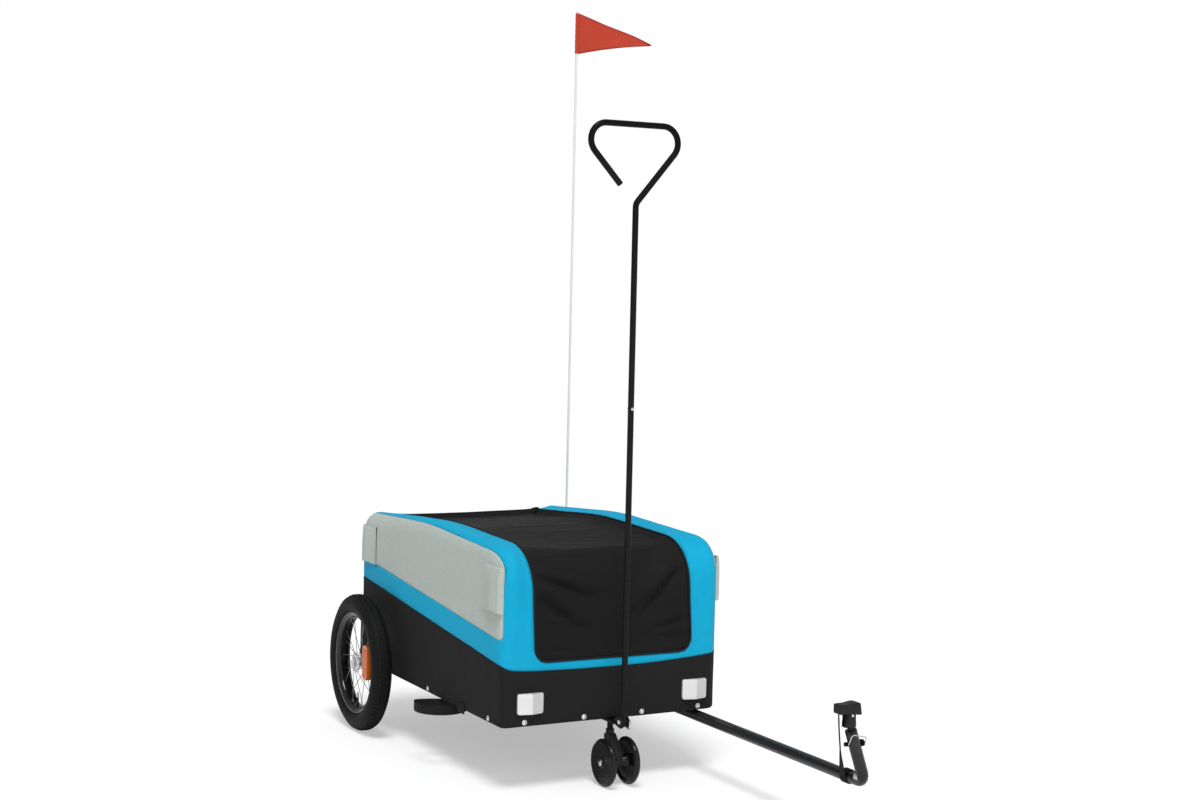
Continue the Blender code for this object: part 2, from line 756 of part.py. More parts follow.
def end_rail(name, y_outer, inward):
    """A cross rail whose outer corners follow the body's rounded corners."""
    centre_x = HALF_WIDTH - EDGE_RADIUS
    radius = EDGE_RADIUS - RAIL_INSET
    inner = RAIL_INSET + RAIL_SIZE
    reach = math.acos((EDGE_RADIUS - inner) / radius)
    steps = 5
    arc = [
        (
            centre_x + radius * math.sin(reach * step / steps),
            EDGE_RADIUS - radius * math.cos(reach * step / steps),
        )
        for step in range(steps + 1)
    ]
    outline = arc + [(-x, y) for x, y in reversed(arc)]
    outline = [(x, y_outer + inward * y) for x, y in outline]
    middle = RAIL_BOTTOM + RAIL_SIZE / 2
    return plate(name, outline, RAIL_SIZE, (1, 0, 0), (0, 1, 0), (0, 0, middle))


def build_base():
    finish(end_rail("front_rail", 0, 1), "frame steel")
    finish(end_rail("rear_rail", BODY_LENGTH, -1), "frame steel")
    start = RAIL_INSET + RAIL_SIZE + SEAT_GAP
    outer = HALF_WIDTH - FABRIC - 0.002
    inner = outer - RAIL_SIZE
    for side, sign in (("right", -1), ("left", 1)):
        low = (min(sign * inner, sign * outer), start, RAIL_BOTTOM)
        high = (max(sign * inner, sign * outer), BODY_LENGTH - start, RAIL_TOP)
        finish(box(f"{side}_side_rail", low, high, RAIL_EDGE / 2), "frame steel")
    half = inner - SEAT_GAP
    for name, middle in (("middle_cross_member", MIDDLE_MEMBER_Y), ("axle_cross_member", AXLE_Y)):
        low = (-half, middle - RAIL_SIZE / 2, RAIL_BOTTOM)
        high = (half, middle + RAIL_SIZE / 2, RAIL_TOP)
        finish(box(name, low, high, RAIL_EDGE / 2), "frame steel")


def build_floor():
    """The floor board, notched round the feet of the hoops."""
    x_out = HALF_WIDTH - FABRIC - FLOOR_EDGE_GAP
    y_out = FABRIC + FLOOR_EDGE_GAP
    x_in = HALF_WIDTH - HOOP_INSET - HOOP_RADIUS - SEAT_GAP * 2
    y_in = HOOP_INSET + HOOP_RADIUS + SEAT_GAP * 2
    quarter = [(x_in, y_out), (x_in, y_in), (x_out, y_in)]
    front = quarter + [(x_out, BODY_LENGTH - y_in), (x_in, BODY_LENGTH - y_in)]
    half = front + [(x_in, BODY_LENGTH - y_out)]
    outline = half + [(-x, y) for x, y in reversed(half)]
    middle = FLOOR_TOP - FLOOR_THICKNESS / 2
    board = plate("floor_panel", outline, FLOOR_THICKNESS, (1, 0, 0), (0, 1, 0), (0, 0, middle))
    finish(board, "floor board")


def arc_place(front, inset):
    """Middle of the rounded top corner of the outline drawn in by an inset."""
    front_corner, crown, rear_corner = profile_corners(inset)
    corner = front_corner if front else rear_corner
    radius = (FRONT_TOP_RADIUS if front else REAR_TOP_RADIUS) - inset
    down, along = Vector((0, 0, -1)), (crown - corner).normalized()
    return corner + (down + along).normalized() * radius * (1 / math.sin(down.angle(along) / 2) - 1)


def build_hoops():
    path = side_outline(HOOP_INSET, RAIL_TOP + SEAT_GAP, 6)
    x = HALF_WIDTH - HOOP_INSET
    for side, sign in (("right", -1), ("left", 1)):
        points = [Vector((sign * x, p.y, p.z)) for p in path]
        finish(tube(f"{side}_hoop", points, HOOP_RADIUS, 3), "frame steel")
    inset = HOOP_INSET + HOOP_RADIUS + TOP_BAR_RADIUS + SEAT_GAP / 3
    reach = x + HOOP_RADIUS
    for name, front in (("front_top_bar", True), ("rear_top_bar", False)):
        place = arc_place(front, inset)
        start, end = (-reach, place.y, place.z), (reach, place.y, place.z)
        finish(rod(name, start, end, TOP_BAR_RADIUS, 16), "frame steel")


def tyre_profile():
    """The tyre's section, its tread crown and shoulders first, then the flat seat on the rim."""
    middle = WHEEL_RADIUS - TYRE_SECTION
    seat = RIM_RADIUS + SEAT_GAP
    sweep = math.radians(122)
    steps = 8
    arc = []
    for step in range(steps + 1):
        angle = sweep * (1 - 2 * step / steps)
        arc.append((middle + TYRE_SECTION * math.cos(angle), TYRE_SECTION * math.sin(angle)))
    return [(seat, RIM_HALF_WIDTH)] + arc + [(seat, -RIM_HALF_WIDTH)]


def rim_profile():
    floor = RIM_RADIUS - RIM_DEPTH
    shoulder = RIM_RADIUS - RIM_DEPTH / 2
    half = RIM_HALF_WIDTH
    upper = [(floor, half * 0.55), (shoulder, half), (RIM_RADIUS, half)]
    return upper + [(radius, -height) for radius, height in reversed(upper)]


def hub_profile():
    bore = AXLE_RADIUS + TURN_GAP
    half = HUB_HALF_LENGTH
    ends = FLANGE_X + 0.0015
    upper = [
        (bore, half),
        (HUB_RADIUS, half),
        (HUB_RADIUS, ends),
        (FLANGE_RADIUS, ends),
        (FLANGE_RADIUS, ends - 0.003),
        (HUB_RADIUS, ends - 0.0035),
    ]
    return upper + [(radius, -height) for radius, height in reversed(upper)]


def spokes(name, centre, radius=SPOKE_RADIUS, only=0):
    """Spokes laced from the two hub flanges, each flange's leaning the other way."""
    bm = bmesh.new()
    for index in range(SPOKE_COUNT):
        side = 1 if index % 2 else -1
        if only == -side:
            continue
        angle = math.tau * index / SPOKE_COUNT
        foot = angle - side * SPOKE_LEAN
        start = Vector(
            (
                side * FLANGE_X,
                (FLANGE_RADIUS - 0.003) * math.cos(foot),
                (FLANGE_RADIUS - 0.003) * math.sin(foot),
            )
        )
        reach = (RIM_RADIUS - RIM_DEPTH) * math.cos(math.pi / RIM_STEPS) - SEAT_GAP * 1.5
        end = Vector((side * 0.003, reach * math.cos(angle), reach * math.sin(angle)))
        along = end - start
        turn = along.to_track_quat("Z", "Y").to_matrix().to_4x4()
        place = Matrix.Translation(Vector(centre) + (start + end) / 2) @ turn
        bmesh.ops.create_cone(
            bm,
            cap_ends=True,
            segments=4,
            radius1=radius,
            radius2=radius,
            depth=along.length,
            matrix=place,
        )
    return from_bmesh(name, bm)


def spoke_reflector(name, centre, sign):
    """A reflector clipped over the outer spokes, which lie in grooves across its back."""
    size = SPOKE_REFLECTOR / 2
    offset = SPOKE_REFLECTOR_OFFSET.copy()
    offset.x *= sign
    middle = Vector(centre) + offset
    lens = box(name, middle - size, middle + size, 0.0025)
    return cut(lens, spokes(f"{name} grooves", centre, SPOKE_RADIUS + SEAT_GAP * 1.5, sign))


def build_wheel(side, sign):
    centre = Vector((sign * WHEEL_X, AXLE_Y, WHEEL_RADIUS))
    across = Vector((sign, 0, 0))
    tyre = turned(f"{side}_tyre", tyre_profile(), centre, across, RIM_STEPS, closed=True)
    finish(tyre, "rubber", centre)
    rim = turned(f"{side}_wheel_rim", rim_profile(), centre, across, RIM_STEPS, closed=True)
    finish(rim, "black steel", centre)
    hub = turned(f"{side}_hub_and_spokes", hub_profile(), centre, across, 14, closed=True)
    join(hub, spokes(f"{side} spokes", centre))
    finish(hub, "bright steel", centre)
    finish(spoke_reflector(f"{side}_spoke_reflector", centre, sign), "orange lens", centre)

    wall = HALF_WIDTH + SEAT_GAP
    face = wall + BRACKET_THICKNESS
    boss_end = WHEEL_X - HUB_HALF_LENGTH - SEAT_GAP
    outline = rounded(
        [
            (0, AXLE_Y, BODY_BOTTOM + 0.003),
            (0, AXLE_Y - 0.034, BODY_BOTTOM + 0.003),
            (0, AXLE_Y - 0.026, WHEEL_RADIUS + 0.030),
            (0, AXLE_Y + 0.026, WHEEL_RADIUS + 0.030),
            (0, AXLE_Y + 0.034, BODY_BOTTOM + 0.003),
            (0, AXLE_Y, BODY_BOTTOM + 0.003),
        ],
        [0.004, 0.010, 0.010, 0.004],
        3,
    )
    low, high = sorted((sign * wall, sign * face))
    bracket = side_plate(f"{side}_axle_bracket", flat(outline[1:-1]), low, high)
    boss = rod(
        f"{side} boss",
        (sign * (wall + 0.001), AXLE_Y, WHEEL_RADIUS),
        (sign * boss_end, AXLE_Y, WHEEL_RADIUS),
        0.013,
        20,
        0.0105,
    )
    bore = rod(
        f"{side} axle bore",
        (sign * (wall - 0.01), AXLE_Y, WHEEL_RADIUS),
        (sign * (boss_end + 0.01), AXLE_Y, WHEEL_RADIUS),
        AXLE_RADIUS + SEAT_GAP,
        20,
    )
    finish(cut(join(bracket, boss), bore), "frame steel")

    inner = wall + SEAT_GAP
    outer = WHEEL_X + HUB_HALF_LENGTH + TURN_GAP
    end = outer + AXLE_CAP_LENGTH
    profile = [
        (0, end),
        (AXLE_CAP_RADIUS - 0.002, end),
        (AXLE_CAP_RADIUS, end - 0.002),
        (AXLE_CAP_RADIUS, outer),
        (AXLE_RADIUS, outer),
        (AXLE_RADIUS, inner),
        (0, inner),
    ]
    axle = turned(f"{side}_axle", profile, (0, AXLE_Y, WHEEL_RADIUS), across, 20)
    finish(axle, "bright steel")


def build_front_bracket():
    """The plate under the front rail, with the caster's socket and the two ears of the handle."""
    top = UNDERSIDE
    bottom = top - PLATE_THICKNESS
    bracket = box(
        "front_bracket",
        (-PLATE_HALF_WIDTH, HANDLE_Y + 0.017, bottom),
        (PLATE_HALF_WIDTH, CASTER_Y + 0.045, top),
    )
    socket = rod(
        "swivel socket",
        (0, CASTER_Y, SWIVEL_SOCKET_BOTTOM),
        (0, CASTER_Y, bottom + 0.001),
        SWIVEL_SOCKET_RADIUS,
        20,
    )
    ear_outline = rounded(
        [
            (0, -0.016, bottom + 0.0002),
            (0, HANDLE_Y - 0.0085, bottom - 0.007),
            (0, HANDLE_Y - 0.0085, HANDLE_PIVOT_Z + 0.0105),
            (0, HANDLE_Y + 0.0105, HANDLE_PIVOT_Z + 0.0105),
            (0, -0.014, top - 0.0002),
            (0, -0.010, bottom + 0.0002),
        ],
        [0.006, 0.008, 0.008, 0.002],
        3,
    )
    ears = []
    inner = HANDLE_RADIUS + TURN_GAP
    for side, sign in (("right", -1), ("left", 1)):
        low, high = sorted((sign * inner, sign * (inner + EAR_THICKNESS)))
        ears.append(side_plate(f"{side} ear", flat(ear_outline), low, high))
    join(bracket, socket, *ears)
    bore = rod(
        "swivel bore",
        (0, CASTER_Y, SWIVEL_SOCKET_BOTTOM - 0.01),
        (0, CASTER_Y, bottom + 0.0015),
        SWIVEL_STEM_RADIUS + TURN_GAP,
        20,
    )
    pin_bore = rod(
        "ear bore",
        (-0.02, HANDLE_Y, HANDLE_PIVOT_Z),
        (0.02, HANDLE_Y, HANDLE_PIVOT_Z),
        PIVOT_PIN_RADIUS + SEAT_GAP,
        16,
    )
    finish(cut(bracket, bore, pin_bore), "black steel")


def build_caster():
    pivot = Vector((0, CASTER_Y, SWIVEL_SOCKET_BOTTOM))
    axle_y = CASTER_Y - CASTER_TRAIL
    axle = Vector((0, axle_y, CASTER_RADIUS))
    neck = SWIVEL_SOCKET_BOTTOM - SEAT_GAP
    collar_bottom = neck - 0.009
    nose = 0.0125
    outline = rounded(
        [
            (0, CASTER_Y, collar_bottom),
            (0, CASTER_Y - 0.0085, collar_bottom),
            (0, axle_y - nose, CASTER_RADIUS + 0.016),
            (0, axle_y - nose, CASTER_RADIUS - nose),
            (0, axle_y + nose, CASTER_RADIUS - nose),
            (0, CASTER_Y + 0.0085, CASTER_RADIUS + 0.024),
            (0, CASTER_Y + 0.0085, collar_bottom),
            (0, CASTER_Y, collar_bottom),
        ],
        [0.004, 0.014, 0.0120, 0.0120, 0.010, 0.004],
        4,
    )
    yoke = side_plate("caster_yoke", flat(outline[1:-1]), -YOKE_HALF_WIDTH, YOKE_HALF_WIDTH)
    stem_top = UNDERSIDE - PLATE_THICKNESS + 0.0008
    collar = 0.0087
    stem = turned(
        "swivel stem",
        [
            (0, stem_top),
            (SWIVEL_STEM_RADIUS, stem_top),
            (SWIVEL_STEM_RADIUS, neck),
            (collar, neck),
            (collar, collar_bottom - 0.002),
            (0, collar_bottom - 0.002),
        ],
        (0, CASTER_Y, 0),
        steps=20,
    )
    bore = rod("caster bore", axle - Vector((0.02, 0, 0)), axle + Vector((0.02, 0, 0)),
               CASTER_AXLE_RADIUS + SEAT_GAP, 16)
    finish(cut(join(yoke, stem), bore), "black plastic", pivot)

    hub_in = YOKE_HALF_WIDTH + TURN_GAP - CASTER_WHEEL_X
    hub_out = 0.0080
    half = CASTER_TREAD / 2
    bore_radius = CASTER_AXLE_RADIUS + TURN_GAP
    rim = CASTER_RADIUS
    profile = [
        (bore_radius, hub_out),
        (0.0095, hub_out),
        (0.0125, half - 0.0030),
        (rim - 0.0085, half),
        (rim - 0.0030, half - 0.0014),
        (rim, half - 0.0055),
        (rim, 0.0055 - half),
        (rim - 0.0030, 0.0014 - half),
        (rim - 0.0085, -half),
        (0.0125, 0.0030 - half),
        (0.0095, hub_in),
        (bore_radius, hub_in),
    ]
    for side, sign in (("right", -1), ("left", 1)):
        centre = Vector((sign * CASTER_WHEEL_X, axle_y, CASTER_RADIUS))
        wheel = turned(f"caster_{side}_wheel", profile, centre, (sign, 0, 0), 24, closed=True)
        finish(wheel, "rubber", centre)
    cap = CASTER_WHEEL_X + hub_out + TURN_GAP
    half_profile = [
        (0.0035, cap + 0.0030),
        (0.0062, cap + 0.0012),
        (0.0062, cap),
        (CASTER_AXLE_RADIUS, cap),
    ]
    profile = [(0, cap + 0.0035)] + half_profile
    profile += [(radius, -height) for radius, height in reversed(half_profile)] + [(0, -cap - 0.0035)]
    finish(turned("caster_axle", profile, axle, (1, 0, 0), 12), "bright steel", pivot)


def handle_loop():
    """The handle's upper tube: up the stem, out to one corner, across the top and back in."""
    stem_bottom = HANDLE_JOINT_Z + SEAT_GAP
    corners = [
        (0, HANDLE_Y, stem_bottom),
        (0, HANDLE_Y, HANDLE_NECK_Z),
        (LOOP_LEFT_CORNER, HANDLE_Y, HANDLE_TOP_Z),
        (LOOP_RIGHT_CORNER, HANDLE_Y, HANDLE_TOP_Z),
        (LOOP_END[0], HANDLE_Y, LOOP_END[1]),
    ]
    return rounded(corners, [0.020, LOOP_RADIUS, LOOP_RADIUS], 6)


def build_handle():
    pivot = Vector((0, HANDLE_Y, HANDLE_PIVOT_Z))
    middle = Vector((0, HANDLE_Y, 0))
    foot = Vector((0, HANDLE_Y, HANDLE_PIVOT_Z - HANDLE_FOOT))
    lower = rod("handle_lower_tube", foot, middle + Vector((0, 0, HANDLE_JOINT_Z)), HANDLE_RADIUS, 16)
    spigot = rod(
        "handle spigot",
        middle + Vector((0, 0, HANDLE_JOINT_Z - 0.01)),
        middle + Vector((0, 0, HANDLE_JOINT_Z + SPIGOT_LENGTH)),
        SPIGOT_RADIUS,
        16,
    )
    pin_hole = rod("handle pin hole", pivot - Vector((0.02, 0, 0)), pivot + Vector((0.02, 0, 0)),
                   PIVOT_PIN_RADIUS + TURN_GAP, 16)
    bolt_z = HANDLE_JOINT_Z + 0.012
    front = Vector((0, HANDLE_Y - 0.02, bolt_z))
    back = Vector((0, HANDLE_Y + 0.02, bolt_z))
    bolt_hole = rod("joint bolt hole", front, back, JOINT_BOLT_RADIUS + SEAT_GAP, 12)
    finish(cut(join(lower, spigot), pin_hole, bolt_hole), "black steel", pivot)

    upper = tube("handle_upper_tube", handle_loop(), HANDLE_RADIUS, 5)
    bore = rod(
        "spigot bore",
        middle + Vector((0, 0, HANDLE_JOINT_Z - 0.01)),
        middle + Vector((0, 0, HANDLE_JOINT_Z + SPIGOT_LENGTH + SEAT_GAP * 2)),
        SPIGOT_RADIUS + SEAT_GAP,
        16,
    )
    finish(cut(upper, bore, bolt_hole), "black steel", pivot)

    reach = HANDLE_RADIUS + SEAT_GAP
    bolt = [
        (0, reach + 0.0020),
        (0.0025, reach + 0.0016),
        (0.0036, reach),
        (JOINT_BOLT_RADIUS, reach),
        (JOINT_BOLT_RADIUS, -reach),
        (0.0034, -reach),
        (0.0034, -reach - 0.0020),
        (0, -reach - 0.0020),
    ]
    centre = (0, HANDLE_Y, bolt_z)
    finish(turned("handle_joint_bolt", bolt, centre, (0, -1, 0), 12), "bright steel", pivot)

    ear = HANDLE_RADIUS + TURN_GAP + EAR_THICKNESS + SEAT_GAP
    pin = [
        (0, ear + 0.0045),
        (PIVOT_PIN_RADIUS, ear + 0.0045),
        (PIVOT_PIN_RADIUS, -ear),
        (0.0052, -ear),
        (0.0052, -ear - 0.0018),
        (0.0040, -ear - 0.0024),
        (0, -ear - 0.0024),
    ]
    finish(turned("handle_pivot_pin", pin, pivot, (1, 0, 0), 16), "bright steel")
    ring_radius, wire = 0.0100, 0.0008
    drop = ring_radius - wire - PIVOT_PIN_RADIUS - SEAT_GAP
    centre = pivot + Vector((ear + 0.0025, 0, -drop))
    around = 20
    ring = [
        centre + Vector((0, ring_radius * math.sin(a), ring_radius * math.cos(a)))
        for a in (math.tau * k / around for k in range(around))
    ]
    finish(tube("handle_pin_ring", ring, wire, 1, closed=True), "bright steel")
    return pivot


def tow_clamp(name, middle):
    """A block under the side rail, bored for the tow bar, with a plate that reaches the rail."""
    bore = TOW_RADIUS + SEAT_GAP
    half = bore + 0.0078
    front, back = middle - CLAMP_LENGTH / 2, middle + CLAMP_LENGTH / 2
    bottom = TOW_Z - bore - CLAMP_WALL
    block = box(name, (TOW_X - half, front, bottom), (TOW_X + half, back, UNDERSIDE), 0.002)
    seat = box(
        f"{name} seat",
        (TOW_X, front + 0.002, UNDERSIDE - 0.0036),
        (HALF_WIDTH - 0.004, back - 0.002, UNDERSIDE - 0.00005),
    )
    hole = rod(
        f"{name} bore", (TOW_X, front - 0.01, TOW_Z), (TOW_X, back + 0.01, TOW_Z), bore, 24
    )
    return cut(join(block, seat), hole), TOW_X + half


def build_tow_bar():
    slide = Vector((TOW_X, CLAMP_Y, TOW_Z))
    clamp, face = tow_clamp("tow_clamp_front", CLAMP_Y)
    screw_radius = 0.0035
    cut(
        clamp,
        rod("screw bore", (TOW_X, CLAMP_Y, TOW_Z), (face + 0.01, CLAMP_Y, TOW_Z),
            screw_radius + TURN_GAP, 16),
    )
    finish(clamp, "black plastic")
    rear, _ = tow_clamp("tow_clamp_rear", MIDDLE_MEMBER_Y)
    finish(rear, "black plastic")

    lobes, around = 5, 30
    outline = []
    for k in range(around):
        angle = math.tau * k / around
        radius = KNOB_RADIUS - 0.0009 * (1 - math.cos(lobes * angle))
        outline.append((radius * math.cos(angle), radius * math.sin(angle)))
    start = face + TURN_GAP
    centre = (start + KNOB_LENGTH / 2, CLAMP_Y, TOW_Z)
    knob = plate("tow_clamp_knob", outline, KNOB_LENGTH, (0, 1, 0), (0, 0, 1), centre)
    screw = rod(
        "knob screw",
        (TOW_X + TOW_RADIUS + SEAT_GAP, CLAMP_Y, TOW_Z),
        (start + 0.002, CLAMP_Y, TOW_Z),
        screw_radius,
        16,
    )
    finish(join(knob, screw), "black plastic", (face, CLAMP_Y, TOW_Z))

    path = rounded([(TOW_X, TOW_REAR_Y, TOW_Z), TOW_CORNER, TOW_END], [TOW_BEND_RADIUS], 8)
    bar = tube("tow_bar", path, TOW_RADIUS, 6)
    inside = TOW_RADIUS - TUBE_WALL
    socket = rod("upright bore", TOW_END - UPRIGHT * 0.045, TOW_END + UPRIGHT * 0.01, inside, 16)
    tail = rod("rear bore", (TOW_X, TOW_REAR_Y - 0.05, TOW_Z), (TOW_X, TOW_REAR_Y + 0.01, TOW_Z),
               inside, 16)
    pin_centre = TOW_END - UPRIGHT * HITCH_PIN_DROP
    reach = Vector((0.03, 0, 0))
    pin_hole = rod("hitch pin hole", pin_centre - reach, pin_centre + reach,
                   HITCH_PIN_RADIUS + SEAT_GAP, 16)
    finish(cut(bar, socket, tail, pin_hole), "black steel", slide)

    shank = inside - SEAT_GAP
    ball = [(0, BALL_RISE + BALL_RADIUS)]
    for step in range(1, 7):
        angle = math.radians(150) * step / 6
        ball.append((BALL_RADIUS * math.sin(angle), BALL_RISE + BALL_RADIUS * math.cos(angle)))
    ball += [
        (0.0050, 0.0035),
        (TOW_RADIUS, 0.0035),
        (TOW_RADIUS, SEAT_GAP),
        (shank, SEAT_GAP),
        (shank, -0.038),
        (0, -0.038),
    ]
    obj = turned("hitch_ball", ball, TOW_END, UPRIGHT, 16)
    finish(cut(obj, pin_hole), "black plastic", slide)

    head_radius = HITCH_PIN_RADIUS + 0.0025
    half = TOW_RADIUS / math.cos(UPRIGHT_LEAN) + head_radius * math.tan(UPRIGHT_LEAN)
    head_face = half + SEAT_GAP
    pin = [
        (0, head_face + 0.0050),
        (head_radius - 0.001, head_face + 0.0050),
        (head_radius, head_face + 0.0040),
        (head_radius, head_face),
        (HITCH_PIN_RADIUS, head_face),
        (HITCH_PIN_RADIUS, -0.0200),
        (0.0028, -0.0215),
        (0, -0.0215),
    ]
    finish(turned("hitch_pin", pin, pin_centre, (1, 0, 0), 16), "black steel", slide)

    wire = 0.0010
    off = Vector((0, -HITCH_PIN_RADIUS - wire - SEAT_GAP, 0))
    right = pin_centre + Vector((-0.0158, 0, 0))
    left = pin_centre + Vector((head_face + 0.0030, -0.0034, 0))
    bail_path = rounded(
        [
            right + off,
            right + off + Vector((0.001, -0.009, 0.020)),
            left + off + Vector((-0.001, -0.006, 0.0125)),
            left + off,
        ],
        [0.005, 0.005],
        4,
    )
    finish(tube("hitch_pin_bail", bail_path, wire, 1), "bright steel", slide)
    return slide


def build_hitch_head():
    """The socket that caps the ball, with the block that takes the bicycle's bracket."""
    centre = BALL_CENTRE + Vector((HEAD_SHIFT, 0, HEAD_RISE))
    head = box("hitch_head", centre - HEAD_SIZE / 2, centre + HEAD_SIZE / 2, 0.0025)
    cup = rod(
        "cup",
        BALL_CENTRE - Vector((0, 0, BALL_RADIUS * 0.65)),
        BALL_CENTRE + Vector((0, 0, HEAD_RISE - 0.002)),
        BALL_RADIUS + CUP_WALL,
        20,
    )
    gap = BALL_RADIUS + TURN_GAP
    steps = 5
    hollow_profile = [(0, gap)]
    for step in range(1, steps + 1):
        angle = math.pi / 2 * step / steps
        hollow_profile.append((gap * math.sin(angle), gap * math.cos(angle)))
    hollow_profile += [(gap, -BALL_RADIUS), (0, -BALL_RADIUS)]
    hollow = turned("ball hollow", hollow_profile, BALL_CENTRE, steps=20)
    finish(cut(join(head, cup), hollow), "black plastic", BALL_CENTRE)


def ribbon(name, places, widths, width, thickness):
    """A strap lofted through places, its width turning from one direction to the next."""
    bm = bmesh.new()
    rings = []
    for index, (place, across) in enumerate(zip(places, widths)):
        ahead = places[min(index + 1, len(places) - 1)] - places[max(index - 1, 0)]
        if index == 0:
            ahead = Vector((0, 0, -1))
        across = (across - ahead.normalized() * across.dot(ahead.normalized())).normalized()
        thick = ahead.cross(across).normalized()
        corners = ((-1, -1), (1, -1), (1, 1), (-1, 1))
        ring = [
            bm.verts.new(place + across * u * width / 2 + thick * v * thickness / 2)
            for u, v in corners
        ]
        rings.append(ring)
    for lower, upper in zip(rings, rings[1:]):
        for k in range(4):
            bm.faces.new((lower[k], lower[(k + 1) % 4], upper[(k + 1) % 4], upper[k]))
    bm.faces.new(list(reversed(rings[0])))
    bm.faces.new(rings[-1])
    return from_bmesh(name, bm)


def build_safety_strap(slide):
    """Webbing from under the hitch head to a loop round the tow bar behind its bend."""
    head = BALL_CENTRE + Vector((HEAD_SHIFT, 0, HEAD_RISE))
    top = head + Vector((-HEAD_SIZE.x / 2 + 0.0065, 0, -HEAD_SIZE.z / 2 - SEAT_GAP))
    loop = Vector((TOW_X, STRAP_LOOP_Y, TOW_Z))
    inner = TOW_RADIUS + SEAT_GAP
    middle_radius = inner + STRAP_THICKNESS / 2
    land = loop + Vector((-middle_radius * 0.86, 0, -middle_radius * 0.51)) * 1.02
    bends = [top, top + Vector((0.002, 0.003, -0.045)), land + Vector((-0.0215, -0.024, 0.042)), land]
    places = []
    steps = 10
    for step in range(steps + 1):
        t = step / steps
        a, b, c, d = ((1 - t) ** 3, 3 * t * (1 - t) ** 2, 3 * t * t * (1 - t), t**3)
        places.append(bends[0] * a + bends[1] * b + bends[2] * c + bends[3] * d)
    start_width, end_width = Vector((0.58, 0.815, 0)), Vector((0, 1, 0))
    widths = [
        start_width.lerp(end_width, max(0, step / steps * 4 - 3)) for step in range(steps + 1)
    ]
    strap = ribbon("safety_strap", places, widths, STRAP_WIDTH, STRAP_THICKNESS)
    half = STRAP_BAND_WIDTH / 2
    outer = inner + STRAP_THICKNESS
    profile = [(inner, half), (outer, half), (outer, -half), (inner, -half)]
    band = turned("strap loop", profile, loop, (0, 1, 0), 24, closed=True)
    finish(join(strap, band), "webbing", slide)


def build_flag():
    """The pole in its cup on the left wall, and the pennant sewn round it near the top."""
    foot = Vector((POLE_X, POLE_Y, 0))
    floor = POLE_FOOT_Z - SEAT_GAP
    cup = [
        (POLE_BORE, floor + CUP_HEIGHT),
        (CUP_RADIUS, floor + CUP_HEIGHT),
        (CUP_RADIUS, floor - 0.004),
        (0, floor - 0.004),
    ]
    profile = [(0, floor), (POLE_BORE, floor)] + cup
    finish(turned("flag_cup", profile, foot, steps=20), "black plastic")
    pole = [
        (0, POLE_TOP_Z),
        (POLE_RADIUS * 0.7, POLE_TOP_Z - 0.0006),
        (POLE_RADIUS, POLE_TOP_Z - 0.003),
        (POLE_RADIUS, POLE_FOOT_Z),
        (0, POLE_FOOT_Z),
    ]
    rest = Vector((POLE_X, POLE_Y, POLE_FOOT_Z))
    finish(turned("flag_pole", pole, foot, steps=12), "white rod", rest)

    hem = POLE_RADIUS + SEAT_GAP
    top = POLE_TOP_Z - 0.006
    bottom = top - FLAG_HEIGHT
    columns = 14
    bm = bmesh.new()
    rows = []
    tip = Vector((POLE_X + FLAG_LENGTH, 0, top - FLAG_HEIGHT * 0.62))
    for column in range(columns + 1):
        share = column / columns
        x = POLE_X + hem + (FLAG_LENGTH - hem) * share
        wave = FLAG_WAVE * math.sin(2.2 * math.pi * share) * share
        reach = 1 - share * 0.985
        pair = [
            bm.verts.new((x, POLE_Y + wave, tip.z + (edge - tip.z) * reach))
            for edge in (bottom, top)
        ]
        rows.append(pair)
    for left, right in zip(rows, rows[1:]):
        bm.faces.new((left[0], right[0], right[1], left[1]))
    sheet = from_bmesh("flag sheet", bm)
    cloth = sheet.modifiers.new("cloth", "SOLIDIFY")
    cloth.thickness = FLAG_THICKNESS
    cloth.offset = 0
    sheet = as_mesh(sheet)
    sleeve_profile = [
        (hem, top),
        (hem + FLAG_THICKNESS, top),
        (hem + FLAG_THICKNESS, bottom),
        (hem, bottom),
    ]
    sleeve = turned("flag", sleeve_profile, foot, steps=16, closed=True)
    finish(join(sleeve, sheet), "flag cloth", rest)


def build_reflectors():
    """Wedge-faced reflectors on the black skirt, white at the front and red at the rear."""
    half, base, ridge = REFLECTOR_SIZE.x / 2, REFLECTOR_SIZE.y, REFLECTOR_RIDGE
    outline = [(-half, 0), (half, 0), (half, base), (0.001, base + ridge), (-half, base)]
    for end, colour, wall, out in (("front", "white lens", 0, -1), ("rear", "red lens", BODY_LENGTH, 1)):
        for side, sign in (("right", -1), ("left", 1)):
            shape = [(sign * REFLECTOR_X + x, wall + out * (SEAT_GAP + y)) for x, y in outline]
            obj = plate(
                f"{side}_{end}_reflector",
                shape,
                REFLECTOR_SIZE.z,
                (1, 0, 0),
                (0, 1, 0),
                (0, 0, REFLECTOR_Z),
            )
            bevel = obj.modifiers.new("edges", "BEVEL")
            bevel.width = 0.0012
            bevel.segments = 2
            bevel.angle_limit = math.radians(40)
            finish(obj, colour)


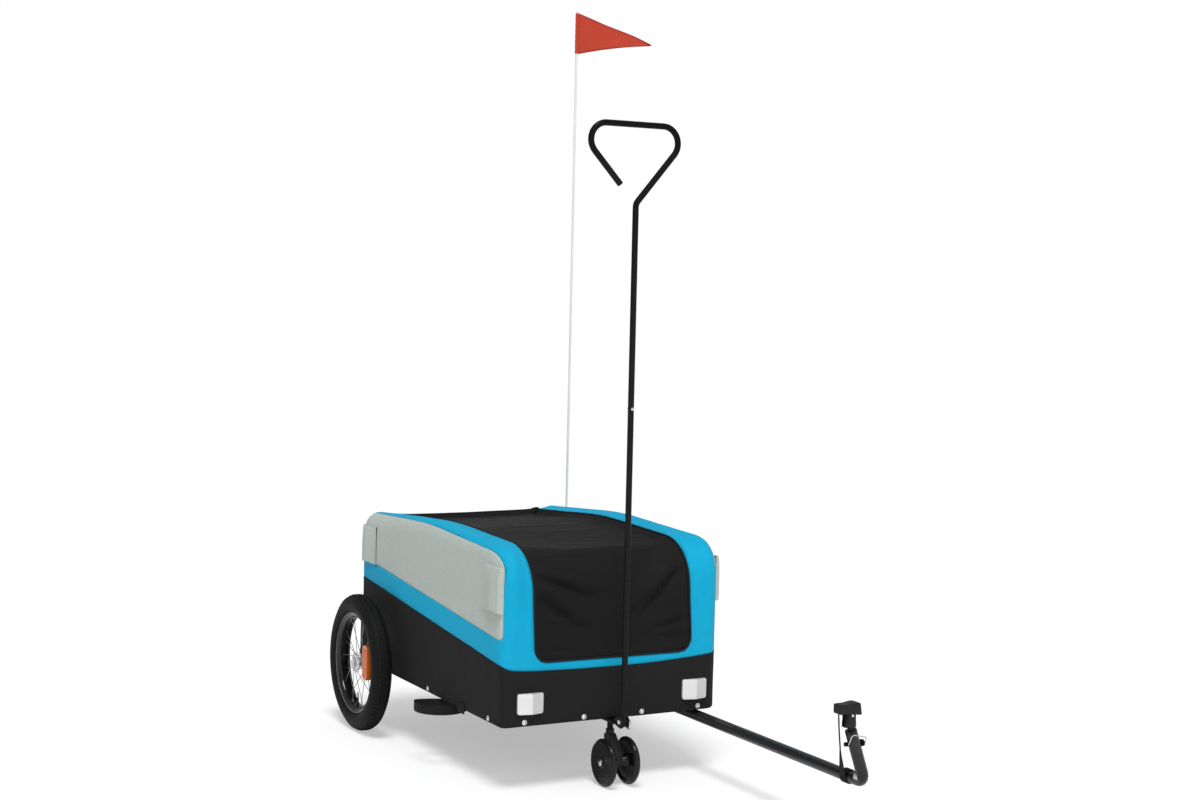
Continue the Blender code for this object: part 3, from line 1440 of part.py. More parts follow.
def build_flaps():
    """Four soft pouches on the side panels, thick towards the body's corners."""
    wall = HALF_WIDTH + SEAT_GAP
    ends = (
        ("front", FLAP_START, 1, FLAP_FRONT_TOP, FLAP_FRONT_HEIGHT),
        ("rear", BODY_LENGTH - FLAP_START, -1, FLAP_REAR_TOP, FLAP_REAR_HEIGHT),
    )
    for end, start, inward, top, height in ends:
        outline = [
            (wall, start),
            (wall + FLAP_THICK * 0.75, start),
            (wall + FLAP_THICK, start + inward * 0.008),
            (wall + FLAP_THICK, start + inward * 0.034),
            (wall + FLAP_THIN * 2.5, start + inward * (FLAP_LENGTH - 0.022)),
            (wall + FLAP_THIN, start + inward * FLAP_LENGTH),
            (wall, start + inward * FLAP_LENGTH),
        ]
        for side, sign in (("right", -1), ("left", 1)):
            shape = [(sign * x, y) for x, y in outline]
            middle = (0, 0, top - height / 2)
            name = f"{side}_{end}_flap"
            flap = plate(name, shape, height, (1, 0, 0), (0, 1, 0), middle)
            if (side, end) == ("left", "rear"):
                cut(
                    flap,
                    rod("pole bore", (POLE_X, POLE_Y, 0.3), (POLE_X, POLE_Y, 0.5), POLE_BORE, 16),
                )
            finish(flap, "grey fabric")


def build_storage_loop():
    """A webbing loop under the right rail, standing on edge, bowed in front and flatter behind."""
    along = Vector((math.cos(STORAGE_LOOP_TURN), math.sin(STORAGE_LOOP_TURN), 0))
    inward = Vector((-along.y, along.x, 0))
    centre = Vector((STORAGE_LOOP_X, STORAGE_LOOP_Y, UNDERSIDE))

    def place(turn):
        across = math.sin(turn) * (STORAGE_LOOP_BACK if math.sin(turn) > 0 else 1)
        return centre + (along * math.cos(turn) + inward * across) * STORAGE_LOOP_RADIUS

    half = STRAP_THICKNESS / 2
    down = Vector((0, 0, -STORAGE_LOOP_HEIGHT))
    steps = 40
    bm = bmesh.new()
    rings = []
    for step in range(steps):
        turn = math.tau * (step + 0.5) / steps
        ahead = place(turn + 0.02) - place(turn - 0.02)
        out = Vector((ahead.y, -ahead.x, 0)).normalized() * half
        here = place(turn)
        rings.append([bm.verts.new(p) for p in (here - out, here + out, here + out + down,
                                                here - out + down)])
    for before, after in zip(rings, rings[1:] + rings[:1]):
        for k in range(4):
            n = (k + 1) % 4
            bm.faces.new((before[k], before[n], after[n], after[k]))
    bmesh.ops.recalc_face_normals(bm, faces=bm.faces)
    finish(from_bmesh("storage_loop", bm), "webbing")


def report_points():
    """Prints the joints' places in world coordinates."""
    shift = CARRIER.location
    axle_y = CASTER_Y - CASTER_TRAIL
    places = {
        "right wheel": (-WHEEL_X, AXLE_Y, WHEEL_RADIUS),
        "left wheel": (WHEEL_X, AXLE_Y, WHEEL_RADIUS),
        "caster": (0, CASTER_Y, SWIVEL_SOCKET_BOTTOM),
        "caster axle": (0, axle_y, CASTER_RADIUS),
        "handle": (0, HANDLE_Y, HANDLE_PIVOT_Z),
        "cover": hinge_place(),
        "tow bar": (TOW_X, CLAMP_Y, TOW_Z),
        "hitch": BALL_CENTRE,
        "flag": (POLE_X, POLE_Y, POLE_FOOT_Z),
    }
    for name, place in places.items():
        world = Vector(place) + shift
        print(f"{name}: {world.x:.5f} {world.y:.5f} {world.z:.5f}")


def build():
    build_base()
    build_floor()
    build_hoops()
    build_fabric()
    build_cover()
    for side, sign in (("right", -1), ("left", 1)):
        build_wheel(side, sign)
    build_front_bracket()
    build_caster()
    build_handle()
    slide = build_tow_bar()
    build_hitch_head()
    build_safety_strap(slide)
    build_flag()
    build_reflectors()
    build_flaps()
    build_storage_loop()
    report_points()


build()
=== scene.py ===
"""Looks for the two-wheeled cargo trailer: cloth, webbing, wheels, hitch, light and camera.

Shapes are drawn in trailer coordinates: x from the centre plane, y backwards from the front
face, z up from the ground. SHIFT takes them to the shared frame.
"""

import math

import bmesh
import bpy
from mathutils import Matrix, Quaternion, Vector, noise


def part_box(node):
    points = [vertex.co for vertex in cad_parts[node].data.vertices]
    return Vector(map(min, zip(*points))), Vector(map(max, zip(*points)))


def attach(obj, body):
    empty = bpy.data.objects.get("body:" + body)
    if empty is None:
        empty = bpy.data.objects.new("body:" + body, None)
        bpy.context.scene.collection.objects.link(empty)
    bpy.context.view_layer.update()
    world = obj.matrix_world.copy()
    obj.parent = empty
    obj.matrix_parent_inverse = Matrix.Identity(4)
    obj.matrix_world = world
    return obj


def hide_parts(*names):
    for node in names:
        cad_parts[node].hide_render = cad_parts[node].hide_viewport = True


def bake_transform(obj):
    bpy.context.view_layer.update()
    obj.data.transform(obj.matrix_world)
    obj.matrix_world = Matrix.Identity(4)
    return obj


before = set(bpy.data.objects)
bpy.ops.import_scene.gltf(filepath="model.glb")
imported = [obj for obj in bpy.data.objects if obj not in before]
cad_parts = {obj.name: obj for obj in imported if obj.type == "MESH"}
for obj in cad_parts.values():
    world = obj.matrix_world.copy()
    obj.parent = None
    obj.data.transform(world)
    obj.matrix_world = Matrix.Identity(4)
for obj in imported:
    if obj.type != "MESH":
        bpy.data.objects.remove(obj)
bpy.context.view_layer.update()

SHIFT = Vector((0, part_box("lower_body_fabric")[0].y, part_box("right_tyre")[0].z))


def trailer_box(node):
    """A CAD node's lowest and highest corners in trailer coordinates."""
    low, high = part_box(node)
    return low - SHIFT, high - SHIFT


# Sizes that the CAD model gives
BODY_LOW, BODY_HIGH = trailer_box("lower_body_fabric")
HALF_WIDTH = BODY_HIGH.x
BODY_LENGTH = BODY_HIGH.y
BODY_BOTTOM = BODY_LOW.z

# The cloth body's form
FRONT_TOP = 0.482
CROWN_Y = 0.400
CROWN_TOP = 0.4955
REAR_TOP = 0.470
FRONT_TOP_RADIUS = 0.100
CROWN_RADIUS = 1.5
REAR_TOP_RADIUS = 0.050
SADDLE = 0.016
SHOULDER_POWER = 3.0
EDGE_RADIUS = 0.030
HEM_RADIUS = 0.006
CLOTH = 0.0024
HEM_WIDTH = 0.022
REACH = HALF_WIDTH - EDGE_RADIUS

# Seams between the black skirt, the blue band and the grey panels
SKIRT_FRONT = 0.2375
SKIRT_LIFT_RIGHT = 0.0060
SKIRT_LIFT_LEFT = 0.0120
SKIRT_SIDE_FRONT = 0.2520
SKIRT_RISE = 0.0975
SKIRT_CORNER_LIFT = 0.0080
PANEL_FOOT = 0.2997
PANEL_RISE = 0.0933
PANEL_INSET = 0.0125
PANEL_REAR_INSET = 0.0070
PANEL_FRONT_DROP = 0.0115
PANEL_CROWN_DROP = 0.0085
PANEL_REAR_DROP = 0.0005
PANEL_FRONT_RADIUS = 0.043
PANEL_SHOULDER_DROP = 0.0300
PANEL_SHOULDER_BACK = 0.045
PANEL_SHOULDER_RADIUS = 0.100
PANEL_REAR_RADIUS = 0.048
SEAM_DEPTH = 0.0009

# The zipped cover
OPENING_HALF = 0.1790
OPENING_BOTTOM = 0.2545
OPENING_REAR = BODY_LENGTH - 0.0275
OPENING_CORNER = 0.028
CORD_RADIUS = 0.0025
COVER_EDGE = 2 * CORD_RADIUS + 0.0006
HEM_BAND = 0.011

CLOTH_GRID = 0.014
ARC_GAP = 0.002
SQUARE = 0.999
HALF_COLUMNS = 16
THREAD_PITCH = 0.0046
# how far a row of stitches lies from its seam
STITCH_IN = 0.004


# ---- shader nodes


def feed(tree, made, inputs):
    """Links or fills in a node's inputs."""
    for key, value in inputs.items():
        socket = made.inputs[key]
        if isinstance(value, bpy.types.NodeSocket):
            tree.links.new(value, socket)
        else:
            socket.default_value = value


def node(tree, kind, inputs=None, **settings):
    """A shader node with its settings, and its inputs linked or filled in."""
    made = tree.nodes.new(kind)
    for key, value in settings.items():
        setattr(made, key, value)
    feed(tree, made, inputs or {})
    return made


def maths(tree, operation, first, second=0.0):
    return node(tree, "ShaderNodeMath", {0: first, 1: second}, operation=operation).outputs[0]


def mixed(tree, share, first, second, blend="MIX"):
    """Two colours mixed by a share."""
    inputs = {0: share, 6: first, 7: second}
    return node(tree, "ShaderNodeMix", inputs, data_type="RGBA", blend_type=blend).outputs[2]


def cloudy(tree, place, scale, detail):
    """Noise from 0 to 1."""
    inputs = {"Vector": place, "Scale": scale, "Detail": detail}
    return node(tree, "ShaderNodeTexNoise", inputs).outputs[0]


def spread(tree, value, low, high):
    """A 0 to 1 value as one between low and high."""
    return node(
        tree, "ShaderNodeMapRange", {"Value": value, "To Min": low, "To Max": high}
    ).outputs[0]


def new_group(name, inputs, outputs):
    group = bpy.data.node_groups.new(name, "ShaderNodeTree")
    for label, kind, default in inputs:
        socket = group.interface.new_socket(label, in_out="INPUT", socket_type=kind)
        if default is not None:
            socket.default_value = default
    for label, kind in outputs:
        group.interface.new_socket(label, in_out="OUTPUT", socket_type=kind)
    return group, group.nodes.new("NodeGroupInput"), group.nodes.new("NodeGroupOutput")


def weave_group():
    """Plain weave: one thread over, one under, with a slub that varies from thread to thread."""
    group, given, out = new_group(
        "plain weave",
        [("Place", "NodeSocketVector", None), ("Threads", "NodeSocketFloat", 1600.0)],
        [("Height", "NodeSocketFloat"), ("Slub", "NodeSocketFloat")],
    )
    place = node(group, "ShaderNodeSeparateXYZ", {0: given.outputs["Place"]})
    across = maths(group, "MULTIPLY", place.outputs[0], given.outputs["Threads"])
    along = maths(group, "MULTIPLY", place.outputs[1], given.outputs["Threads"])
    warp = maths(group, "ABSOLUTE", maths(group, "SINE", maths(group, "MULTIPLY", across, math.pi)))
    weft = maths(group, "ABSOLUTE", maths(group, "SINE", maths(group, "MULTIPLY", along, math.pi)))
    cell = maths(group, "ADD", maths(group, "FLOOR", across), maths(group, "FLOOR", along))
    over = maths(group, "ABSOLUTE", maths(group, "MODULO", cell, 2.0))
    height = maths(
        group,
        "ADD",
        maths(group, "MULTIPLY", warp, over),
        maths(group, "MULTIPLY", weft, maths(group, "SUBTRACT", 1.0, over)),
    )
    stretch = node(
        group, "ShaderNodeMapping", {"Vector": given.outputs["Place"], "Scale": (40, 900, 1)}
    )
    slub = cloudy(group, stretch.outputs[0], 1.0, 1.0)
    group.links.new(height, out.inputs["Height"])
    group.links.new(slub, out.inputs["Slub"])
    return group


def mottle_group():
    """Soft uneven tone at two scales, as on dyed cloth, moulded plastic or dusty paint."""
    group, given, out = new_group(
        "uneven tone",
        [("Place", "NodeSocketVector", None), ("Scale", "NodeSocketFloat", 9.0)],
        [("Tone", "NodeSocketFloat"), ("Fine", "NodeSocketFloat")],
    )
    wide = cloudy(group, given.outputs["Place"], given.outputs["Scale"], 3.0)
    fine_scale = maths(group, "MULTIPLY", given.outputs["Scale"], 24.0)
    fine = cloudy(group, given.outputs["Place"], fine_scale, 2.0)
    group.links.new(wide, out.inputs["Tone"])
    group.links.new(fine, out.inputs["Fine"])
    return group


def wear_group():
    """Where edges are rubbed: convex places, broken up by a grain."""
    group, given, out = new_group(
        "edge wear",
        [
            ("Place", "NodeSocketVector", None),
            ("Amount", "NodeSocketFloat", 0.5),
            ("Grain", "NodeSocketFloat", 220.0),
        ],
        [("Mask", "NodeSocketFloat")],
    )
    convex = node(group, "ShaderNodeNewGeometry").outputs["Pointiness"]
    sharp = node(
        group,
        "ShaderNodeMapRange",
        {"Value": convex, "From Min": 0.52, "From Max": 0.60},
    ).outputs[0]
    grain = cloudy(group, given.outputs["Place"], given.outputs["Grain"], 2.0)
    rough = maths(group, "MULTIPLY", grain, given.outputs["Amount"])
    rubbed = maths(group, "MULTIPLY", sharp, rough)
    group.links.new(rubbed, out.inputs["Mask"])
    return group


WEAVE, MOTTLE, WEAR = weave_group(), mottle_group(), wear_group()

# How many patches of tone a metre of cloth or of a hard surface has
CLOTH_PATCHES = 7.0
HARD_PATCHES = 14.0
# How dark the painted shade by height makes a cloth at its foot
DARKEST = 0.90


def new_look(name, **constants):
    """A material, its node tree and its Principled shader, with constant values set on it."""
    look = bpy.data.materials.new(name)
    look.use_nodes = True
    tree = look.node_tree
    shader = tree.nodes["Principled BSDF"]
    for key, value in constants.items():
        shader.inputs[key.replace("_", " ").title().replace("Ior", "IOR")].default_value = value
    return look, tree, shader


def scaled(colour, factor):
    return (*[channel * factor for channel in colour], 1)


def cloth_look(
    name,
    colour,
    threads,
    rough,
    depth=0.00022,
    contrast=0.12,
    sheen=0.01,
    gloss=0.12,
    fade=None,
):
    """Woven cloth: threads with painted shade in their hollows, a tone that drifts, a sheen, and
    painted shade that darkens it between two heights, towards the lower.
    """
    look, tree, shader = new_look(
        name, sheen_weight=sheen, sheen_roughness=0.45, specular_ior_level=gloss
    )
    lengths = node(tree, "ShaderNodeUVMap", uv_map="cloth").outputs[0]
    place = node(tree, "ShaderNodeTexCoord").outputs["Object"]
    weave = node(tree, "ShaderNodeGroup", {"Place": lengths, "Threads": threads}, node_tree=WEAVE)
    mottle = node(
        tree, "ShaderNodeGroup", {"Place": place, "Scale": CLOTH_PATCHES}, node_tree=MOTTLE
    )
    drift = mixed(
        tree,
        mottle.outputs["Tone"],
        scaled(colour, 1 - contrast),
        scaled(colour, 1 + contrast),
    )
    slub = spread(tree, weave.outputs["Slub"], 0.86, 1.14)
    # painted shade: the weave's hollows are darker than its crests
    painted_weave_shade = spread(tree, weave.outputs["Height"], 0.80, 1.10)
    shade = maths(tree, "MULTIPLY", slub, painted_weave_shade)
    # painted shade: the colour darkens from the upper height in fade down to the lower one
    if fade:
        height = node(tree, "ShaderNodeSeparateXYZ", {0: place}).outputs[2]
        low, high = fade
        inputs = {"Value": height, "From Min": low, "From Max": high, "To Min": DARKEST}
        painted_height_shade = node(tree, "ShaderNodeMapRange", inputs).outputs[0]
        shade = maths(tree, "MULTIPLY", shade, painted_height_shade)
    tint = node(tree, "ShaderNodeCombineColor", {0: shade, 1: shade, 2: shade}).outputs[0]
    # the drifting dye tone times the slub, the painted shade of the weave and, where fade is given,
    # the painted shade by height
    dyed = mixed(tree, 1.0, drift, tint, "MULTIPLY")
    roughness = spread(tree, mottle.outputs["Fine"], rough - 0.10, rough + 0.10)
    bump = node(
        tree,
        "ShaderNodeBump",
        {"Height": weave.outputs["Height"], "Strength": 0.6, "Distance": depth},
    ).outputs[0]
    feed(tree, shader, {"Base Color": dyed, "Roughness": roughness, "Normal": bump})
    return look


def hard_look(
    name,
    colour,
    rough,
    wear=0.0,
    worn=(0.30, 0.30, 0.31),
    grain=320.0,
    depth=0.00005,
    contrast=0.10,
    **constants,
):
    """Paint, metal, plastic or rubber: a drifting tone, a fine grain and rubbed edges."""
    look, tree, shader = new_look(name, **constants)
    place = node(tree, "ShaderNodeTexCoord").outputs["Object"]
    mottle = node(
        tree, "ShaderNodeGroup", {"Place": place, "Scale": HARD_PATCHES}, node_tree=MOTTLE
    )
    base = mixed(
        tree,
        mottle.outputs["Tone"],
        scaled(colour, 1 - contrast),
        scaled(colour, 1 + contrast),
    )
    roughness = spread(tree, mottle.outputs["Fine"], rough * 0.75, rough * 1.25)
    if wear:
        rubbed = node(tree, "ShaderNodeGroup", {"Place": place, "Amount": wear}, node_tree=WEAR)
        base = mixed(tree, rubbed.outputs["Mask"], base, (*worn, 1))
        lift = maths(tree, "MULTIPLY", rubbed.outputs["Mask"], 0.2)
        roughness = maths(tree, "ADD", roughness, lift)
    surface = cloudy(tree, place, grain, 3.0)
    bump = node(
        tree, "ShaderNodeBump", {"Height": surface, "Strength": 0.5, "Distance": depth}
    ).outputs[0]
    feed(tree, shader, {"Base Color": base, "Roughness": roughness, "Normal": bump})
    return look


BLACKS = {"specular_ior_level": 0.18}
LOOKS = {
    "black cloth": cloth_look("black_cloth", (0.0120, 0.0122, 0.0122), 1500, 0.80),
    "cover cloth": cloth_look(
        "cover_cloth_look",
        (0.0140, 0.0141, 0.0145),
        1900,
        0.38,
        0.00010,
        gloss=0.007,
        sheen=0,
        # painted shade: the cover's colour is darker towards its foot
        fade=(0.08, 0.34),
    ),
    "blue cloth": cloth_look("blue_cloth_look", (0.0033, 0.360, 0.590), 1500, 0.66, contrast=0.05),
    "grey cloth": cloth_look("grey_cloth_look", (0.436, 0.486, 0.454), 1500, 0.72, contrast=0.04),
    "webbing": cloth_look(
        "webbing_look", (0.0120, 0.0120, 0.0124), 900, 0.70, 0.00035, contrast=0.15
    ),
    "flag cloth": cloth_look(
        "flag_cloth_look", (0.478, 0.051, 0.028), 1700, 0.60, 0.00015, contrast=0.06
    ),
    "flag tape": cloth_look(
        "flag_tape_look", (0.360, 0.032, 0.018), 1700, 0.66, 0.00015, contrast=0.06
    ),
    "black thread": hard_look("black_thread", (0.018, 0.018, 0.019), 0.6, **BLACKS),
    "blue thread": hard_look("blue_thread", (0.012, 0.42, 0.68), 0.6, **BLACKS),
    "grey thread": hard_look("grey_thread", (0.54, 0.58, 0.55), 0.6, **BLACKS),
    "red thread": hard_look("red_thread", (0.46, 0.040, 0.022), 0.6, **BLACKS),
    "black paint": hard_look(
        "black_paint", (0.0052, 0.0052, 0.0054), 0.26, 0.04, specular_ior_level=0.06
    ),
    "tow paint": hard_look(
        "tow_paint", (0.0085, 0.0085, 0.0089), 0.24, 0.12, specular_ior_level=0.26
    ),
    "frame paint": hard_look("frame_paint", (0.0130, 0.0130, 0.0135), 0.38, 0.15, **BLACKS),
    "zinc": hard_look("zinc", (0.66, 0.66, 0.67), 0.24, contrast=0.14, grain=500.0, metallic=1.0),
    "satin metal": hard_look("satin_metal", (0.42, 0.42, 0.43), 0.34, contrast=0.08, metallic=1.0),
    "spoke steel": hard_look("spoke_steel", (0.27, 0.27, 0.28), 0.28, contrast=0.10, metallic=1.0),
    "rubber": hard_look(
        "tyre_rubber", (0.0066, 0.0067, 0.0067), 0.62, 0.15, (0.02, 0.02, 0.02), 260.0, 0.0002,
        specular_ior_level=0.10,
    ),
    "bright alloy": hard_look(
        "bright_alloy", (0.60, 0.60, 0.61), 0.30, contrast=0.06, metallic=0.5
    ),
    "rim edge": hard_look("rim_edge", (0.130, 0.130, 0.131), 0.30, specular_ior_level=0.5),
    "rim black": hard_look("rim_black", (0.0050, 0.0050, 0.0052), 0.20, specular_ior_level=0.35),
    "plastic": hard_look(
        "black_plastic", (0.0120, 0.0120, 0.0124), 0.42, 0.2, (0.05, 0.05, 0.05), 700.0, **BLACKS
    ),
    "gloss plastic": hard_look(
        "gloss_plastic",
        (0.0075, 0.0075, 0.0078),
        0.20,
        0.1,
        (0.05, 0.05, 0.05),
        specular_ior_level=0.22,
    ),
    "board": hard_look(
        "floor_board", (0.0200, 0.0200, 0.0205), 0.55, grain=900.0, depth=0.0002, **BLACKS
    ),
    "rod": hard_look("pole_rod", (0.66, 0.67, 0.68), 0.35),
    "white lens": hard_look("white_lens", (0.67, 0.67, 0.68), 0.20, contrast=0.03, coat_weight=0.2),
    # painted shade: a darker copy of the white lens, for the half of each front lens turned from
    # the light
    "shaded lens": hard_look(
        "shaded_lens", (0.50, 0.50, 0.505), 0.20, contrast=0.03, coat_weight=0.2
    ),
    "red lens": hard_look("red_lens", (0.42, 0.010, 0.008), 0.16, coat_weight=0.4),
    "orange lens": hard_look("orange_lens", (0.55, 0.116, 0.013), 0.20, coat_weight=0.6),
}


# ---- making pieces


def cloth_lengths(mesh):
    """A UV map in metres, laid flat along whichever way each face looks."""
    layer = mesh.uv_layers.new(name="cloth")
    for face in mesh.polygons:
        x, y, z = (abs(value) for value in face.normal)
        first, second = (1, 2) if x > max(y, z) else ((0, 2) if y > z else (0, 1))
        for loop in face.loop_indices:
            co = mesh.vertices[mesh.loops[loop].vertex_index].co
            layer.data[loop].uv = (co[first], co[second])


MERGE = 1e-6


def merged(bm, distance=MERGE):
    bmesh.ops.remove_doubles(bm, verts=bm.verts, dist=distance)
    return bm


def round_edges(bm, edges, width, segments):
    bmesh.ops.bevel(
        bm, geom=edges, offset=width, segments=segments, profile=0.5, affect="EDGES", material=-1
    )


def facing(axis):
    """The matrix that turns an upright shape to look along an axis."""
    return Vector(axis).to_track_quat("Z", "Y").to_matrix().to_4x4()


def pour(made, bm):
    """Adds one bmesh's shape to another, and frees it."""
    mesh = bpy.data.meshes.new("shape")
    made.to_mesh(mesh)
    made.free()
    bm.from_mesh(mesh)
    bpy.data.meshes.remove(mesh)
    return bm


def wall_rings(bm, rings):
    """Faces between each ring of corners and the next."""
    for before, after in zip(rings, rings[1:]):
        for k in range(len(before)):
            n = (k + 1) % len(before)
            bm.faces.new((before[k], before[n], after[n], after[k]))


def edges_across(bm):
    """The edges that run along X."""
    return [e for e in bm.edges if abs((e.verts[0].co - e.verts[1].co).normalized().x) > 0.99]


def open_edges(bm):
    return [edge for edge in bm.edges if edge.is_boundary]


def close_back(bm, back):
    """Closes a domed grid with side walls and a back, whose corners go where back puts them."""
    made = bmesh.ops.extrude_edge_only(bm, edges=open_edges(bm))
    for item in made["geom"]:
        if isinstance(item, bmesh.types.BMVert):
            item.co = back(item.co)
    bmesh.ops.contextual_create(bm, geom=open_edges(bm))


def make_piece(name, bm, body, looks, nodes=(), angle=38, recalc=True, doubles=MERGE):
    """A finished bmesh in trailer coordinates, as a piece on a CAD body or on none yet."""
    if doubles:
        merged(bm, doubles)
    if recalc:
        bmesh.ops.recalc_face_normals(bm, faces=bm.faces)
    bmesh.ops.translate(bm, vec=SHIFT, verts=bm.verts)
    mesh = bpy.data.meshes.new(name)
    bm.to_mesh(mesh)
    bm.free()
    looks = [looks] if isinstance(looks, str) else looks
    for look in looks:
        mesh.materials.append(LOOKS[look])
    mesh.shade_smooth()
    mesh.set_sharp_from_angle(angle=math.radians(angle))
    if any("cloth" in look or look == "webbing" for look in looks):
        cloth_lengths(mesh)
    obj = bpy.data.objects.new(name, mesh)
    bpy.context.scene.collection.objects.link(obj)
    if body:
        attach(obj, body)
    if nodes:
        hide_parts(*([nodes] if isinstance(nodes, str) else nodes))
    return obj


def thicken(obj, thickness, offset=-1):
    wall = obj.modifiers.new("cloth thickness", "SOLIDIFY")
    wall.thickness = thickness
    wall.offset = offset
    wall.use_even_offset = True


def soften(obj, width, angle):
    edge = obj.modifiers.new("softened edges", "BEVEL")
    edge.width = width
    edge.segments = 2
    edge.angle_limit = math.radians(angle)
    edge.harden_normals = True


def rounded(corners, radii, steps=6):
    """A path through the corners, with each inner corner turned into an arc of its radius."""
    corners = [Vector(corner) for corner in corners]
    points = [corners[0]]
    counts = steps if isinstance(steps, (list, tuple)) else [steps] * len(radii)
    bends = zip(corners, corners[1:], corners[2:], radii, counts)
    for before, corner, after, radius, count in bends:
        back = (before - corner).normalized()
        ahead = (after - corner).normalized()
        half = back.angle(ahead) / 2
        centre = corner + (back + ahead).normalized() * radius / math.sin(half)
        start = corner + back * radius / math.tan(half) - centre
        normal = back.cross(ahead).normalized()
        turn = math.pi - 2 * half
        for step in range(count + 1):
            points.append(centre + Quaternion(normal, -turn * step / count) @ start)
    points.append(corners[-1])
    return points


def tube(points, radius, sides, closed=False):
    """A round tube along the points, as a new bmesh."""
    curve = bpy.data.curves.new("tube", "CURVE")
    curve.dimensions = "3D"
    curve.bevel_depth = radius
    curve.bevel_resolution = max(1, sides // 4 - 1)
    curve.use_fill_caps = not closed
    spline = curve.splines.new("POLY")
    spline.points.add(len(points) - 1)
    for slot, point in zip(spline.points, points):
        slot.co = (*point, 1)
    spline.use_cyclic_u = closed
    obj = bpy.data.objects.new("tube", curve)
    bpy.context.scene.collection.objects.link(obj)
    bpy.context.view_layer.update()
    graph = bpy.context.evaluated_depsgraph_get()
    mesh = bpy.data.meshes.new_from_object(obj.evaluated_get(graph))
    bm = bmesh.new()
    bm.from_mesh(mesh)
    bpy.data.objects.remove(obj, do_unlink=True)
    bpy.data.curves.remove(curve)
    bpy.data.meshes.remove(mesh)
    return bm


def turned(bm, profile, centre, axis=(0, 0, 1), steps=48, closed=False):
    """A profile of (radius, height) points spun round an axis, added to the bmesh."""
    made = bmesh.new()
    points = [made.verts.new((max(radius, 0), 0, height)) for radius, height in profile]
    edges = [made.edges.new(pair) for pair in zip(points, points[1:])]
    if closed:
        edges.append(made.edges.new((points[-1], points[0])))
    bmesh.ops.spin(
        made,
        geom=points + edges,
        cent=(0, 0, 0),
        axis=(0, 0, 1),
        angle=math.tau,
        steps=steps,
        use_merge=True,
        use_duplicate=False,
    )
    merged(made)
    bmesh.ops.recalc_face_normals(made, faces=made.faces)
    matrix = Matrix.Translation(centre) @ facing(axis)
    bmesh.ops.transform(made, matrix=matrix, verts=made.verts)
    return pour(made, bm)


def slab(bm, centre, size, edge=0.0, segments=2):
    """A box with rounded edges, added to the bmesh."""
    made = bmesh.new()
    bmesh.ops.create_cube(made, size=1)
    bmesh.ops.scale(made, vec=size, verts=made.verts)
    if edge:
        round_edges(made, made.edges[:], edge, segments)
    bmesh.ops.transform(made, matrix=Matrix.Translation(centre), verts=made.verts)
    return pour(made, bm)


# ---- the cloth body


def profile_corners(inset):
    """Front, crown and rear corners of the body's side outline, drawn in by an inset."""
    outer = [
        Vector((0, 0, BODY_BOTTOM)),
        Vector((0, 0, FRONT_TOP)),
        Vector((0, CROWN_Y, CROWN_TOP)),
        Vector((0, BODY_LENGTH, REAR_TOP)),
        Vector((0, BODY_LENGTH, BODY_BOTTOM)),
    ]
    inner = []
    for before, corner, after in zip(outer, outer[1:], outer[2:]):
        first = Vector((0, -(corner - before).z, (corner - before).y)).normalized()
        second = Vector((0, -(after - corner).z, (after - corner).y)).normalized()
        inner.append(corner - (first + second) * inset / (1 + first.dot(second)))
    return inner


def side_outline(inset, bottom, steps):
    """The body's outline seen from the side, from the front foot over the top to the rear foot."""
    front, crown, rear = profile_corners(inset)
    corners = [Vector((0, front.y, bottom)), front, crown, rear, Vector((0, rear.y, bottom))]
    radii = [FRONT_TOP_RADIUS - inset, CROWN_RADIUS, REAR_TOP_RADIUS - inset]
    return rounded(corners, radii, steps)


def saddle(place):
    """How the cloth sinks between the hoops: along the top and down the front."""
    across = abs(place.x / REACH)
    if across >= 1:
        return Vector()
    front, _, rear = profile_corners(0)
    low_front = front.z - FRONT_TOP_RADIUS
    low_rear = rear.z - REAR_TOP_RADIUS
    aft = soft_step(place.y, 0.35, 0.70)
    depth, power = SADDLE * (1 - 0.25 * aft), 3 + 3 * aft
    if place.y < FRONT_TOP_RADIUS:
        up = (place.z - low_front) / FRONT_TOP_RADIUS
        turn = math.atan2(max(up, 0), 1 - place.y / FRONT_TOP_RADIUS)
        level = (2 * turn / math.pi) ** 2
        depth *= (0.75 + 0.25 * level) * soft_step(place.z, SKIRT_FRONT + 0.025, low_front + 0.018)
        power = 12 - 9 * level
        way = Vector((0, math.cos(turn), -math.sin(turn)))
    elif place.y > BODY_LENGTH - REAR_TOP_RADIUS:
        up = (place.z - low_rear) / REAR_TOP_RADIUS
        turn = math.atan2(max(up, 0), (place.y - BODY_LENGTH) / REAR_TOP_RADIUS + 1)
        depth *= 2 * turn / math.pi
        way = Vector((0, -math.cos(turn), -math.sin(turn)))
    else:
        depth *= place.z > BODY_BOTTOM + (FRONT_TOP - BODY_BOTTOM) / 2
        way = Vector((0, 0, -1))
    return way * depth * (1 - across**power)


def shoulder(place):
    """The front shoulder drawn out fuller than its arc, as the hoop bends under the cloth."""
    low_front = FRONT_TOP - FRONT_TOP_RADIUS
    back, up = FRONT_TOP_RADIUS - place.y, place.z - low_front
    if back <= 0 or up <= 0:
        return place
    power = 2 + (SHOULDER_POWER - 2) * soft_step(abs(place.x), OPENING_HALF - 0.004, REACH + 0.006)
    fuller = math.hypot(back, up) / (back**power + up**power) ** (1 / power)
    return Vector((place.x, FRONT_TOP_RADIUS - back * fuller, low_front + up * fuller))


def soft_step(value, low, high):
    """0 below low, 1 above high, and smooth between."""
    share = min(max((value - low) / (high - low), 0), 1)
    return share * share * (3 - 2 * share)


